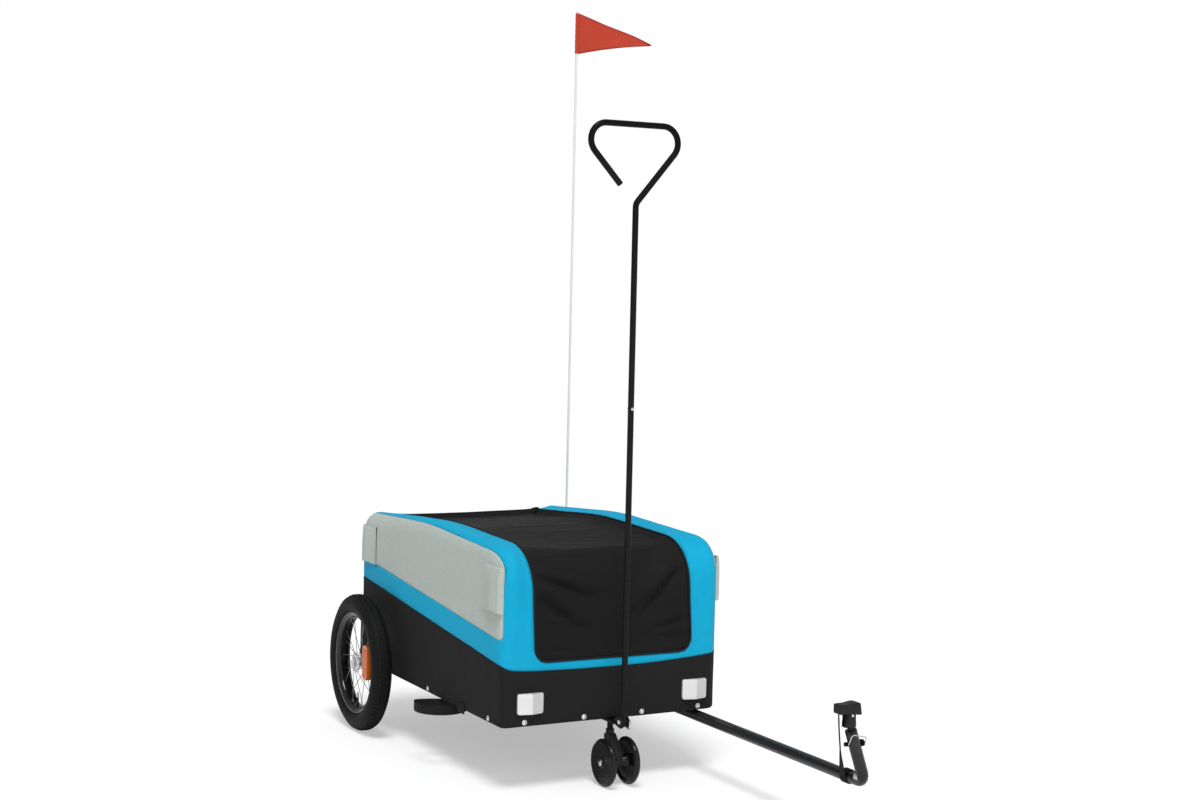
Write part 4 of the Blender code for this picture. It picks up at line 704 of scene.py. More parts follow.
def squared_corner(place):
    """The upright corners drawn out tighter than their arc, where the cloth wraps the frame."""
    over = (abs(place.x) - REACH) / EDGE_RADIUS
    if place.y < BODY_LENGTH / 2:
        end, ahead = EDGE_RADIUS, -1
    else:
        end, ahead = BODY_LENGTH - EDGE_RADIUS, 1
    past = (place.y - end) * ahead / EDGE_RADIUS
    if over <= 0 or past <= 0 or place.x > 0:
        return place
    power = 2 + 4 * (1 - soft_step(place.z, 0.225, 0.285))
    size = math.hypot(over, past) / (over**power + past**power) ** (1 / power)
    across = math.copysign(REACH + EDGE_RADIUS * over * size, place.x)
    return Vector((across, end + ahead * EDGE_RADIUS * past * size, place.z))


def skirt_seam(y):
    """The seam's height along the side: a straight line that rises backwards."""
    return SKIRT_SIDE_FRONT + SKIRT_RISE * y


def skirt_field(place):
    """Height above the seam between the black skirt and the blue band."""
    share = max(-1, min(1, place.x / HALF_WIDTH))
    lift = (SKIRT_LIFT_LEFT if share > 0 else SKIRT_LIFT_RIGHT) * share * share
    lift += SKIRT_CORNER_LIFT * share**14 if share < 0 else 0
    low, high = CLOTH + 0.001, 0.014
    blend = min(max((place.y - low) / (high - low), 0), 1)
    front = SKIRT_FRONT + lift
    line = front + (skirt_seam(high) - front) * blend if place.y < high else skirt_seam(place.y)
    return place.z - line


def opening_field(place):
    """Distance outside the cover's opening: a window with round lower corners, and a slot."""
    corner = OPENING_CORNER
    a = abs(place.x) - (OPENING_HALF - corner)
    b = (OPENING_BOTTOM + corner) - place.z if place.y < 0.3 else -1.0
    if a > 0 and b > 0:
        low = math.hypot(a, b) - corner
    else:
        low = max(a, b) - corner
    rear = place.y - OPENING_REAR
    return max(low, rear)


def panel_lines():
    """The grey panel's outline as lines: the way out of each, and how far it lies that way."""
    front, rear = PANEL_INSET, BODY_LENGTH - PANEL_REAR_INSET
    corners = [
        (0, front, PANEL_FOOT + PANEL_RISE * front),
        (0, front, FRONT_TOP - PANEL_SHOULDER_DROP),
        (0, front + PANEL_SHOULDER_BACK, FRONT_TOP - PANEL_FRONT_DROP),
        (0, CROWN_Y, CROWN_TOP - PANEL_CROWN_DROP),
        (0, rear, REAR_TOP - PANEL_REAR_DROP),
        (0, rear, PANEL_FOOT + PANEL_RISE * rear),
    ]
    radii = [PANEL_FRONT_RADIUS, PANEL_SHOULDER_RADIUS, CROWN_RADIUS, PANEL_REAR_RADIUS]
    outline = rounded(corners, radii, (12, 6, 3, 10))
    outline.append(outline[0])
    lines = []
    for first, second in zip(outline, outline[1:]):
        along = second - first
        if along.length > 1e-7:
            out = Vector((0, -along.z, along.y)).normalized()
            lines.append((out, out.dot(first)))
    return lines


PANEL_LINES = panel_lines()


def panel_field(place):
    """Distance outside the grey panel's outline, seen from the side."""
    place = shoulder(place)
    return max(out.dot(place) - reach for out, reach in PANEL_LINES)


def split_along(bm, field, seam=0, chosen=None):
    """Cuts the faces along the line where a field of the place is zero, and marks the cut."""
    kept = bm.verts.layers.float.get("kept x") or bm.verts.layers.float.new("kept x")
    marks = bm.edges.layers.int.get("seam") or bm.edges.layers.int.new("seam")
    faces = [face for face in bm.faces if chosen is None or chosen(face)]
    for vert in bm.verts:
        vert[kept] = vert.co.x
        vert.co.x = field(vert.co)
    verts = {vert for face in faces for vert in face.verts}
    edges = {edge for face in faces for edge in face.edges}
    result = bmesh.ops.bisect_plane(
        bm,
        geom=list(verts) + list(edges) + faces,
        dist=2e-4,
        plane_co=(0, 0, 0),
        plane_no=(1, 0, 0),
    )
    if seam:
        for item in result["geom_cut"]:
            if isinstance(item, bmesh.types.BMEdge):
                item[marks] = seam
    for vert in bm.verts:
        vert.co.x = vert[kept]
    bm.normal_update()


def slice_at(bm, faces, axis, places):
    """Cuts faces by planes square to an axis."""
    for place in places:
        faces = [face for face in faces if face.is_valid]
        verts = {vert for face in faces for vert in face.verts}
        edges = {edge for face in faces for edge in face.edges}
        point, normal = Vector(), Vector()
        point[axis], normal[axis] = place, 1
        made = bmesh.ops.bisect_plane(
            bm, geom=list(verts) + list(edges) + faces, dist=1e-5, plane_co=point, plane_no=normal
        )
        faces = [item for item in made["geom"] if isinstance(item, bmesh.types.BMFace)]
    return faces


def steps_between(low, high, step):
    count = max(1, round((high - low) / step))
    return [low + (high - low) * k / count for k in range(1, count)]


def body_skin():
    """The whole cloth body's outer face as one dense mesh, open underneath inside its hem."""
    outline = side_outline(0, BODY_BOTTOM, (14, 4, 9))
    bm = bmesh.new()
    side = bm.faces.new([bm.verts.new((-HALF_WIDTH, p.y, p.z)) for p in outline])
    made = bmesh.ops.extrude_face_region(bm, geom=[side])
    moved = [item for item in made["geom"] if isinstance(item, bmesh.types.BMVert)]
    bmesh.ops.translate(bm, vec=(2 * HALF_WIDTH, 0, 0), verts=moved)
    bmesh.ops.recalc_face_normals(bm, faces=bm.faces)

    def at_bottom(edge):
        return all(abs(vert.co.z - BODY_BOTTOM) < 1e-6 for vert in edge.verts)

    rims = [
        edge
        for edge in bm.edges
        if abs(edge.verts[0].co.x - edge.verts[1].co.x) < 1e-6 and not at_bottom(edge)
    ]
    round_edges(bm, rims, EDGE_RADIUS, 7)
    round_edges(bm, [edge for edge in bm.edges if at_bottom(edge)], HEM_RADIUS, 3)
    under = [face for face in bm.faces if face.normal.z < -SQUARE]
    bmesh.ops.inset_region(bm, faces=under, thickness=HEM_WIDTH - HEM_RADIUS)
    under = [face for face in under if face.is_valid and face.normal.z < -SQUARE]
    inner = max(under, key=lambda face: face.calc_area())
    bmesh.ops.delete(bm, geom=[inner], context="FACES")

    sides = [face for face in bm.faces if abs(face.normal.x) > SQUARE and face.calc_area() > 0.01]
    low, high = EDGE_RADIUS, BODY_LENGTH - EDGE_RADIUS
    for face in sides:
        cut = slice_at(bm, [face], 1, steps_between(low, high, CLOTH_GRID))
        z_steps = steps_between(BODY_BOTTOM + HEM_RADIUS, CROWN_TOP - EDGE_RADIUS, CLOTH_GRID)
        slice_at(bm, cut, 2, z_steps)
    wrap = [
        face for face in bm.faces if abs(face.normal.x) < SQUARE and abs(face.normal.z) < SQUARE
    ]
    shoulder_foot = FRONT_TOP - FRONT_TOP_RADIUS - ARC_GAP
    z_steps = steps_between(BODY_BOTTOM + HEM_RADIUS, shoulder_foot, CLOTH_GRID)
    wrap = slice_at(bm, wrap, 2, z_steps)
    bm.normal_update()
    top = [face for face in bm.faces if face.normal.z > 0.5 and abs(face.normal.x) < SQUARE]
    top_rear = BODY_LENGTH - REAR_TOP_RADIUS - ARC_GAP
    y_steps = steps_between(FRONT_TOP_RADIUS + ARC_GAP, top_rear, CLOTH_GRID)
    slice_at(bm, top, 1, y_steps)
    bm.normal_update()
    wide = [face for face in bm.faces if abs(face.normal.x) < 0.02]
    columns = range(1 - HALF_COLUMNS, HALF_COLUMNS)
    slice_at(bm, wide, 0, [REACH * k / HALF_COLUMNS for k in columns])
    return merged(bm, 1e-5)


def components(bm):
    """Groups of faces that are joined without crossing a marked seam."""
    marks = bm.edges.layers.int["seam"]
    left, groups = set(bm.faces), []
    while left:
        start = left.pop()
        group, queue = [start], [start]
        while queue:
            face = queue.pop()
            for edge in face.edges:
                if edge[marks] >= 10:
                    continue
                for other in edge.link_faces:
                    if other in left:
                        left.discard(other)
                        group.append(other)
                        queue.append(other)
        groups.append(group)
    return groups


def region_of(group):
    """Which cloth a group of faces belongs to, by the area that lies in each."""
    votes = {}
    for face in group:
        place = face.calc_center_median()
        if skirt_field(place) < 0:
            label = "skirt"
        elif panel_field(place) < 0 and abs(place.x) > REACH:
            label = "left grey" if place.x > 0 else "right grey"
        elif opening_field(place) < 0:
            label = "cover"
        else:
            label = "blue"
        votes[label] = votes.get(label, 0) + face.calc_area()
    return max(votes, key=votes.get)


SKIRT_SEAM, PANEL_SEAM, OPENING_SEAM = 10, 11, 12
CORD_LINE, COVER_LINE, HEM_LINE, HEM_STITCH, COVER_STITCH = 13, 14, 1, 2, 3
PANEL_STITCH, SKIRT_STITCH, COVER_HEM = 4, 5, 6


def marked_runs(bm, seam):
    """The cut's edges as runs of (place, normal), and whether each run closes on itself."""
    marks = bm.edges.layers.int["seam"]
    links = {}
    for edge in bm.edges:
        if edge[marks] == seam:
            first, second = edge.verts
            links.setdefault(first, []).append(second)
            links.setdefault(second, []).append(first)
    runs = []
    while links:
        ends = [vert for vert in links if len(links[vert]) == 1]
        start = min(ends or links, key=lambda vert: tuple(round(c, 6) for c in vert.co))
        run, here = [start], start
        while links.get(here):
            ahead = links[here].pop(0)
            links[ahead].remove(here)
            run.append(ahead)
            here = ahead
        for vert in run:
            if vert in links and not links[vert]:
                del links[vert]
        closed = run[0] is run[-1]
        places = [(vert.co.copy(), vert.normal.copy()) for vert in (run[:-1] if closed else run)]
        if len(places) > 2:
            runs.append((places, closed))
    return runs


def stitches(runs, lift=0.0002, pitch=THREAD_PITCH, length=0.0032, radius=0.00042):
    """Rows of thread stitches along runs of (place, normal)."""
    bm = bmesh.new()
    for places, closed in runs:
        line = places + places[:1] if closed else places
        spare = pitch / 2
        for (first, out), (second, out_ahead) in zip(line, line[1:]):
            along = second - first
            size = along.length
            if size < 1e-9:
                continue
            while spare < size:
                share = spare / size
                normal = out.lerp(out_ahead, share).normalized()
                side = along.normalized().cross(normal).normalized()
                turn = Matrix((along.normalized(), side, normal)).transposed().to_4x4()
                place = first + along * share + normal * lift
                scale = Matrix.Diagonal((length / 2, radius, radius, 1))
                bmesh.ops.create_icosphere(
                    bm, subdivisions=1, radius=1, matrix=Matrix.Translation(place) @ turn @ scale
                )
                spare += pitch
            spare -= size
    return bm


def make_thread(name, runs, body, look, slot, **thread):
    """Rows of stitches as a piece of their own."""
    return make_piece(name, stitches(runs, **thread), body, look, (), doubles=0)


def open_runs(lines):
    return [(line, False) for line in lines]


def ripple(place, size, seed=0.0):
    """Smooth noise from -1 to 1 at a place, for a feature size in metres."""
    x, y, z = place
    return noise.noise(Vector((x / size + seed, y / size - seed, z / size + 2 * seed)))


def near(value, middle, width):
    """A soft bump of height 1."""
    return math.exp(-(((value - middle) / width) ** 2))


def body_slack(place):
    """How far the sewn cloth stands out or in: slow unevenness, and puckers by its seams."""
    push = 0.0007 * ripple(place, 0.16, 3.1) + 0.00035 * ripple(place, 0.05, 7.7)
    seam = near(skirt_field(place), 0, 0.016)
    push += 0.0004 * seam * ripple(Vector((place.x, place.y, place.z * 0.2)), 0.014, 1.3)
    return push


def take(bm, faces):
    """A copy of the mesh that holds only the named faces."""
    wanted = {face.index for face in faces}
    part = bm.copy()
    part.faces.ensure_lookup_table()
    drop = [face for face in part.faces if face.index not in wanted]
    bmesh.ops.delete(part, geom=drop, context="FACES")
    return part


def crease(across, height, start, end, width, depth):
    """A fold that runs from one place on the cover to another: a ridge beside a hollow."""
    line = Vector(end) - Vector(start)
    place = Vector((across, height)) - Vector(start)
    along = place.dot(line) / line.length_squared
    if not -0.15 < along < 1.15:
        return 0.0
    side = (line.x * place.y - line.y * place.x) / line.length
    off = side / width / (1.7 if side > 0 else 0.75)
    fade = math.sin(math.pi * min(max((along + 0.15) / 1.3, 0), 1)) ** 0.7
    return 2.6 * depth * fade * off * math.exp(-off * off)


COVER_FOLDS = [
    # from (across, height), to (across, height), width, depth
    ((-0.178, 0.446), (-0.044, 0.390), 0.013, 0.0080),
    ((-0.165, 0.402), (-0.070, 0.325), 0.014, 0.0082),
    ((0.066, 0.350), (0.163, 0.447), 0.014, 0.0084),
    ((0.085, 0.308), (0.172, 0.331), 0.010, 0.0040),
    ((-0.158, 0.334), (-0.083, 0.325), 0.008, 0.0020),
    ((-0.140, 0.480), (-0.040, 0.420), 0.009, 0.0030),
    ((0.060, 0.298), (0.165, 0.290), 0.009, 0.0024),
    ((-0.150, 0.284), (-0.040, 0.270), 0.010, 0.0018),
    ((0.020, 0.330), (0.090, 0.395), 0.012, 0.0024),
]


def cover_slack(place):
    """How far the cover lies below the body's outline: its sag, folds and fine creases."""
    inside = -opening_field(place) - COVER_EDGE
    front = 1 - soft_step(place.y, 0.06, 0.16)
    rear = soft_step(place.y, 0.45, 0.70)
    hold = soft_step(inside, 0, 0.022 - 0.010 * rear)
    push = -(0.0030 * front + 0.0050 * (1 - front) + 0.0030 * rear) * hold
    height = place.z + place.y * 0.55
    for start, end, width, depth in COVER_FOLDS:
        push += crease(place.x, height, start, end, width, depth) * hold * front
    streaks = noise.noise(Vector((place.x / 0.17, (place.y + 0.25 * place.x**2) / 0.017, 4.2)))
    top = soft_step(place.y, 0.02, 0.09)
    push += 0.0011 * streaks * hold * top
    push += (0.0014 * ripple(place, 0.085, 5.5) + 0.0007 * ripple(place, 0.030, 9.1)) * hold
    return push


def make_cloth_body():
    """Skirt, band and side panels, cut from one skin, with their stitching.

    Gives back the skin and its faces by cloth, for the cover.
    """
    bm = body_skin()
    split_along(bm, skirt_field, SKIRT_SEAM)
    split_along(bm, lambda p: skirt_field(p) + STITCH_IN, SKIRT_STITCH)
    split_along(bm, lambda p: skirt_field(p) - STITCH_IN)

    def on_side(face):
        return abs(face.calc_center_median().x) > REACH - 0.002 and face.normal.z > -0.5

    def upper(face):
        place = face.calc_center_median()
        inside = abs(place.x) < REACH + 0.001 and skirt_field(place) > -0.0005
        return inside and face.normal.z > -0.5

    for gap, seam in ((0.0, PANEL_SEAM), (-STITCH_IN, PANEL_STITCH), (STITCH_IN, 0)):
        split_along(bm, lambda p: panel_field(p) - gap, seam, on_side)
    cuts = (
        (HEM_BAND, HEM_LINE),
        (HEM_BAND - 0.0022, HEM_STITCH),
        (0.0, OPENING_SEAM),
        (-CORD_RADIUS - 0.0003, CORD_LINE),
        (-COVER_EDGE, COVER_LINE),
        (-COVER_EDGE - 0.0035, COVER_STITCH),
        (-COVER_EDGE - 0.012, COVER_HEM),
    )
    for gap, seam in cuts:
        split_along(bm, lambda p: opening_field(p) - gap, seam, upper)
    for vert in bm.verts:
        sunk = saddle(vert.co)
        vert.co = squared_corner(shoulder(vert.co)) + sunk
    bm.normal_update()
    marks = bm.edges.layers.int["seam"]
    sewn = {
        vert
        for edge in bm.edges
        if edge[marks] in (SKIRT_SEAM, PANEL_SEAM)
        for vert in edge.verts
    }
    moves = {}
    for vert in bm.verts:
        push = body_slack(vert.co)
        if vert in sewn:
            push -= SEAM_DEPTH
        elif -0.0004 < opening_field(vert.co) < HEM_BAND + 0.0005 and skirt_field(vert.co) > 0.002:
            push += 0.0007 * min(max((HEM_BAND - opening_field(vert.co)) / 0.0015, 0), 1)
        moves[vert] = vert.normal * push
    for vert, move in moves.items():
        vert.co += move
    bm.normal_update()
    bm.faces.index_update()

    groups = {}
    for group in components(bm):
        label = region_of(group)
        groups.setdefault(label, []).extend(group)

    plan = (
        ("skirt", "skirt_cloth", "black cloth", "lower_body_fabric", "black_fabric"),
        ("blue", "blue_cloth", "blue cloth", "upper_body_fabric", "blue_fabric"),
        ("right grey", "right_grey_cloth", "grey cloth", "right_side_panel", "grey_fabric"),
        ("left grey", "left_grey_cloth", "grey cloth", "left_side_panel", "grey_fabric"),
    )
    for label, name, look, cad_node, slot in plan:
        part = take(bm, groups[label])
        obj = make_piece(name, part, "trailer_body", look, cad_node, recalc=False, doubles=0)
        thicken(obj, CLOTH)

    rows = (
        ("skirt_stitching", SKIRT_STITCH, "black thread", "black_fabric"),
        ("panel_stitching", PANEL_STITCH, "grey thread", "grey_fabric"),
        ("hem_stitching", HEM_STITCH, "blue thread", "blue_fabric"),
    )
    for name, seam, look, slot in rows:
        make_thread(name, marked_runs(bm, seam), "trailer_body", look, slot)
    return bm, groups


def make_cover(bm, groups):
    """The zip-in cover: sagging, creased cloth with a hem, and the piping round it."""
    def inside(face):
        return opening_field(face.calc_center_median()) < -COVER_EDGE

    part = take(bm, [face for face in groups["cover"] if inside(face)])
    for _ in range(2):
        bmesh.ops.subdivide_edges(part, edges=part.edges[:], cuts=1, use_grid_fill=True)
    part.normal_update()
    moves = [(vert, vert.normal * cover_slack(vert.co)) for vert in part.verts]
    for vert, move in moves:
        vert.co += move
    part.normal_update()
    for _ in range(2):
        inner = [vert for vert in part.verts if not vert.is_boundary]
        bmesh.ops.smooth_vert(
            part, verts=inner, factor=0.5, use_axis_x=True, use_axis_y=True, use_axis_z=True
        )
    part.normal_update()
    edge_runs = marked_runs(part, COVER_STITCH)
    hem_runs = marked_runs(part, COVER_HEM)
    cover = make_piece(
        "cover_cloth",
        part,
        "cover",
        "cover cloth",
        "top_cover",
        recalc=False,
        doubles=0,
    )
    thicken(cover, CLOTH)
    thread = make_thread(
        "cover_stitching", edge_runs + hem_runs, "cover", "black thread", "cover_fabric"
    )

    runs = marked_runs(bm, CORD_LINE)
    places, closed = max(runs, key=lambda run: len(run[0]))
    path = [place + normal * 0.0004 for place, normal in places]
    cord = tube(path, CORD_RADIUS, 12, closed=closed)
    make_piece("cover_cord", cord, "cover", "webbing", "cover_piping")


# ---- pouches, pennant, straps


POLE_LOW, POLE_HIGH = trailer_box("flag_pole")
POLE_X, POLE_Y = (POLE_LOW.x + POLE_HIGH.x) / 2, (POLE_LOW.y + POLE_HIGH.y) / 2
POLE_RADIUS = (POLE_HIGH.x - POLE_LOW.x) / 2
POUCH_REACH = {"front": 0.0020, "rear": -0.0060}
PENNANT_HANG = 0.0045
PENNANT_WAVE = 0.0062
PENNANT_TIP = 0.62


def corner_depth(y):
    """How far the body's rounded upright corner falls short of its side wall at a place."""
    past = max(EDGE_RADIUS - y, y - (BODY_LENGTH - EDGE_RADIUS), 0) / EDGE_RADIUS
    return EDGE_RADIUS * (1 - math.sqrt(max(1 - past * past, 0)))


def eased(share):
    """A quarter ellipse from 0 to 1."""
    share = min(max(share, 0), 1)
    return math.sqrt(1 - (1 - share) ** 2)


def make_pouch(side, end):
    """A soft pouch on the side panel: full by the body's corner, flat where it is sewn down."""
    low, high = trailer_box(f"{side}_{end}_flap")
    sign = 1 if side == "left" else -1
    inward = 1 if end == "front" else -1
    start = (low.y if inward > 0 else high.y) - inward * POUCH_REACH[end]
    length = high.y - low.y + POUCH_REACH[end]
    tall = high.z - low.z
    wall = HALF_WIDTH + 0.0002
    depth = max(abs(low.x), abs(high.x)) - wall
    seed = 3.0 * sign + (1.7 if end == "front" else 5.2)
    bm = bmesh.new()
    bmesh.ops.create_grid(bm, x_segments=64, y_segments=52, size=0.5)
    for vert in bm.verts:
        along, up = vert.co.x + 0.5, vert.co.y + 0.5
        along = along**1.3
        place_y = start + inward * along * length
        full = 1 - soft_step(along, 0.34, 0.96)
        swell = depth * (0.64 + 0.36 * soft_step(along, 0.06, 0.34))
        out = 0.0018 + (swell - 0.0018) * full
        lip = eased(along * length / 0.009)
        crown = eased((1 - up) * tall / (0.041 if end == "front" else 0.060))
        foot = 0.4 + 0.6 * eased(up * tall / 0.0035)
        out = 0.0010 + (out - 0.0010) * crown * foot
        out = (0.0010 - corner_depth(start)) * (1 - lip) + out * lip
        rim = min(up, 1 - up)
        pucker = noise.noise(Vector((along * 9 + seed, up * 1.6, seed)))
        pucker += 0.6 * noise.noise(Vector((along * 22, up * 2.2, seed + 4)))
        gather = 0.4 + 0.6 * max(1 - rim / 0.30, 0)
        out += 0.0010 * pucker * gather * full * lip * crown
        out += 0.0006 * near(along, 0.90, 0.02) - 0.0006 * near(along, 0.84, 0.015)
        out += 0.0005 * near(along, 0.72, 0.03)
        sag = 0.0016 * math.sin(math.pi * along) * (1 - 2 * up) * full
        out = max(out, 0.0010 - corner_depth(place_y))
        if (side, end) == ("left", "rear"):
            bed = POLE_X - POLE_RADIUS - 0.0004 - wall
            out = min(out, bed + 0.9 * max(abs(place_y - POLE_Y) - POLE_RADIUS - 0.0004, 0))
        vert.co = (sign * (wall + out), place_y, low.z + up * tall + sag)
    close_back(bm, lambda co: (sign * (wall - corner_depth(co.y)), co.y, co.z))
    obj = make_piece(
        f"{side}_{end}_pouch",
        bm,
        "trailer_body",
        "grey cloth",
        f"{side}_{end}_flap",
        angle=50,
    )
    edge_y = start + inward * length * 0.90
    edge_x = sign * (wall + 0.0021)
    heights = [low.z + 0.004 + (high.z - low.z - 0.008) * k / 12 for k in range(13)]
    line = [(Vector((edge_x, edge_y, height)), Vector((sign, 0, 0))) for height in heights]
    name = f"{side}_{end}_pouch_stitching"
    make_thread(name, open_runs([line]), "trailer_body", "grey thread", "grey_fabric")
    # At the rear edge a dark strip: partly the pouch's dark edge, partly painted shadow of the gap
    # where the pouch meets the panel.
    if end == "rear":
        tape = bmesh.new()
        y = start + inward * length * 0.985
        slab(
            tape,
            (sign * (wall + 0.0014), y, (low.z + high.z) / 2 - 0.001),
            (0.0026, 0.0018, high.z - low.z + 0.004),
            0.0006,
        )
        make_piece(f"{side}_pouch_edge_and_shadow_strip", tape, "trailer_body", "webbing", ())


def make_pennant():
    """The pennant, sewn round the pole, its edges bound in a darker tape."""
    low, high = trailer_box("flag")
    pole_x, pole_y, pole = POLE_X, POLE_Y, POLE_RADIUS
    top, bottom = high.z, low.z
    tip_z = top - (top - bottom) * PENNANT_TIP
    length = high.x - pole_x
    start = pole + 0.0012

    def cloth_place(along, up):
        x = pole_x + start + (length - start) * along
        reach = 1 - along * 0.985
        hang = PENNANT_HANG * math.sin(math.pi * along) * (1 - along * 0.3)
        lower = tip_z + (bottom - tip_z) * reach + hang
        upper = tip_z + (top - tip_z) * reach
        wave = PENNANT_WAVE * math.sin(2.2 * math.pi * along) * along
        wave += 0.0016 * noise.noise(Vector((along * 5, up * 1.5, 2.2))) * min(along * 5, 1)
        return Vector((x, pole_y + wave, lower + (upper - lower) * up))

    bm = bmesh.new()
    bmesh.ops.create_grid(bm, x_segments=60, y_segments=22, size=0.5)
    for vert in bm.verts:
        vert.co = cloth_place(vert.co.x + 0.5, vert.co.y + 0.5)
    area = sum(face.calc_area() for face in bm.faces)
    sheet = make_piece("pennant", bm, "flag_mast", "flag cloth", "flag", recalc=False)
    thicken(sheet, 0.0009, 0)

    sleeve = bmesh.new()
    inner, outer = pole + 0.0003, pole + 0.0013
    profile = [(inner, bottom + 0.001)]
    for k in range(25):
        z = bottom + (top - bottom) * k / 24
        profile.append((outer + 0.0003 * math.sin(k * 1.9), z))
    profile.append((inner, top - 0.001))
    turned(sleeve, profile[::-1], (pole_x, pole_y, 0), steps=28, closed=True)
    hem = make_piece(
        "pennant_sleeve", sleeve, "flag_mast", "flag cloth", (), angle=60
    )

    edge = [cloth_place(k / 40, 1) for k in range(40)] + [cloth_place(1, 0.5)]
    edge += [cloth_place(k / 40, 0) for k in range(39, -1, -1)]
    binding = tube(edge, 0.0011, 8)
    tape = make_piece("pennant_binding", binding, "flag_mast", "flag tape", ())
    lines = []
    for up in (0.06, 0.94):
        for side in (-1, 1):
            off, out = Vector((0, side * 0.0005, 0)), Vector((0, side, 0))
            lines.append([(cloth_place(0.02 + 0.86 * k / 30, up) + off, out) for k in range(31)])
    thread = make_thread(
        "pennant_stitching",
        open_runs(lines),
        "flag_mast",
        "red thread",
        "flag_cloth",
        lift=0.0001,
        pitch=0.004,
        length=0.0026,
        radius=0.0003,
    )


def ribbon(bm, places, widths, width, thickness, steps=5):
    """A strap lofted through places: a rounded flat section, turned as the widths say."""
    rings = []
    for index, (place, across) in enumerate(zip(places, widths)):
        ahead = (places[min(index + 1, len(places) - 1)] - places[max(index - 1, 0)]).normalized()
        across = (across - ahead * across.dot(ahead)).normalized()
        thick = ahead.cross(across).normalized()
        half, round_off = width / 2 - thickness / 2, thickness / 2
        section = [(half, -round_off), (half + round_off * 0.8, 0), (half, round_off)]
        section += [(half * (1 - 2 * k / steps), round_off) for k in range(1, steps)]
        section += [(-u, -v) for u, v in section]
        rings.append([bm.verts.new(place + across * u + thick * v) for u, v in section])
    edges = []
    for ring in rings:
        edges.append([bm.edges.new((a, b)) for a, b in zip(ring, ring[1:] + ring[:1])])
    for lower, upper in zip(edges, edges[1:]):
        bmesh.ops.bridge_loops(bm, edges=lower + upper)
    for ring in (rings[0], rings[-1]):
        bm.faces.new(ring)
    return bm


# the tow bar and what hangs on it, as the CAD places them
BAR_END_Y = trailer_box("tow_bar")[1].y
TOW_RADIUS = 0.0111
TOW_X = HALF_WIDTH - 0.038
TOW_Z = BODY_BOTTOM - 0.0155
TOW_BEND_Y = -0.5595
UPRIGHT_LEAN = math.radians(19)
UPRIGHT = Vector((-math.sin(UPRIGHT_LEAN), 0, math.cos(UPRIGHT_LEAN)))
TOW_CORNER = Vector((TOW_X, TOW_BEND_Y, TOW_Z))
TOW_END = TOW_CORNER + UPRIGHT * 0.100
BALL = TOW_END + UPRIGHT * 0.0165
PIN = TOW_END - UPRIGHT * 0.0228
HEAD = BALL + Vector((-0.005, 0, 0.0280))
HEAD_SIZE = Vector((0.044, 0.024, 0.0175))
CUP_RADIUS = 0.0092 + 0.0030
STRAP_WIDTH = 0.020
STRAP_THICK = 0.0022
STRAP_BAND = 0.017
STRAP_LOOP_Y = -0.5095
STRAP_SEAT = Vector((-HEAD_SIZE.x / 2 + 0.0040, 0, -HEAD_SIZE.z / 2 - 0.0002))
STRAP_PULL_AT_HEAD = Vector((0.003, 0.002, -0.040))
STRAP_PULL_AT_BAR = Vector((-0.0060, 0.000, 0.042))
STRAP_STEPS = 34
STRAP_WAY_AT_HEAD = Vector((0.58, 0.815, 0))
STRAP_TWIST = 2.2


def make_tether():
    """The safety webbing: from under the hitch head down to a sewn loop round the tow bar."""
    top = HEAD + STRAP_SEAT
    loop = Vector((TOW_X, STRAP_LOOP_Y, TOW_Z))
    inner = TOW_RADIUS + 0.0003
    middle = inner + STRAP_THICK / 2
    land = loop + Vector((-middle * 0.86, 0, -middle * 0.51)) * 1.02
    bends = [top, top + STRAP_PULL_AT_HEAD, land + STRAP_PULL_AT_BAR, land]
    places, widths = [], []
    for step in range(STRAP_STEPS + 1):
        t = step / STRAP_STEPS
        a, b, c, d = (1 - t) ** 3, 3 * t * (1 - t) ** 2, 3 * t * t * (1 - t), t**3
        places.append(bends[0] * a + bends[1] * b + bends[2] * c + bends[3] * d)
        twist = max(0, t * STRAP_TWIST - STRAP_TWIST + 1)
        widths.append(STRAP_WAY_AT_HEAD.lerp(Vector((0, 1, 0)), twist))
    bm = ribbon(bmesh.new(), places, widths, STRAP_WIDTH, STRAP_THICK)
    half = STRAP_BAND / 2
    outer = inner + STRAP_THICK
    upper = [
        (inner, half - 0.0006),
        (inner + 0.0008, half),
        (outer - 0.0006, half),
        (outer, half - 0.0006),
    ]
    profile = upper + [(radius, -height) for radius, height in reversed(upper)]
    turned(bm, profile, loop, (0, 1, 0), 56, closed=True)
    webbing = make_piece("tether_webbing", bm, None, "webbing", "safety_strap", angle=50)
    lines = []
    for share in (-0.36, 0.36):
        for face in (-1, 1):
            line = []
            for index in range(1, STRAP_STEPS - 3):
                ahead = (places[index + 1] - places[index - 1]).normalized()
                across = (widths[index] - ahead * widths[index].dot(ahead)).normalized()
                out = ahead.cross(across).normalized() * face
                place = places[index] + across * share * STRAP_WIDTH + out * STRAP_THICK / 2
                line.append((place, out))
            lines.append(line)
    thread = make_thread(
        "tether_stitching", open_runs(lines), None, "black thread", "webbing", lift=0.0
    )
    for piece in (webbing, thread):
        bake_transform(piece)


LOOP_RADIUS = 0.054
LOOP_TURN = math.radians(-28)
LOOP_BACK = 0.30


def storage_place(turn, out=0.0):
    """A place on the storage loop's middle line, or so far outside it."""
    along = Vector((math.cos(LOOP_TURN), math.sin(LOOP_TURN), 0))
    inward = Vector((-along.y, along.x, 0))

    def place(angle):
        across = math.sin(angle) * (LOOP_BACK if math.sin(angle) > 0 else 1)
        return Vector((-HALF_WIDTH - 0.003, 0.288, 0)) + LOOP_RADIUS * (
            along * math.cos(angle) + inward * across
        )

    ahead = place(turn + 0.03) - place(turn - 0.03)
    normal = Vector((ahead.y, -ahead.x, 0)).normalized()
    return place(turn) + normal * out, normal


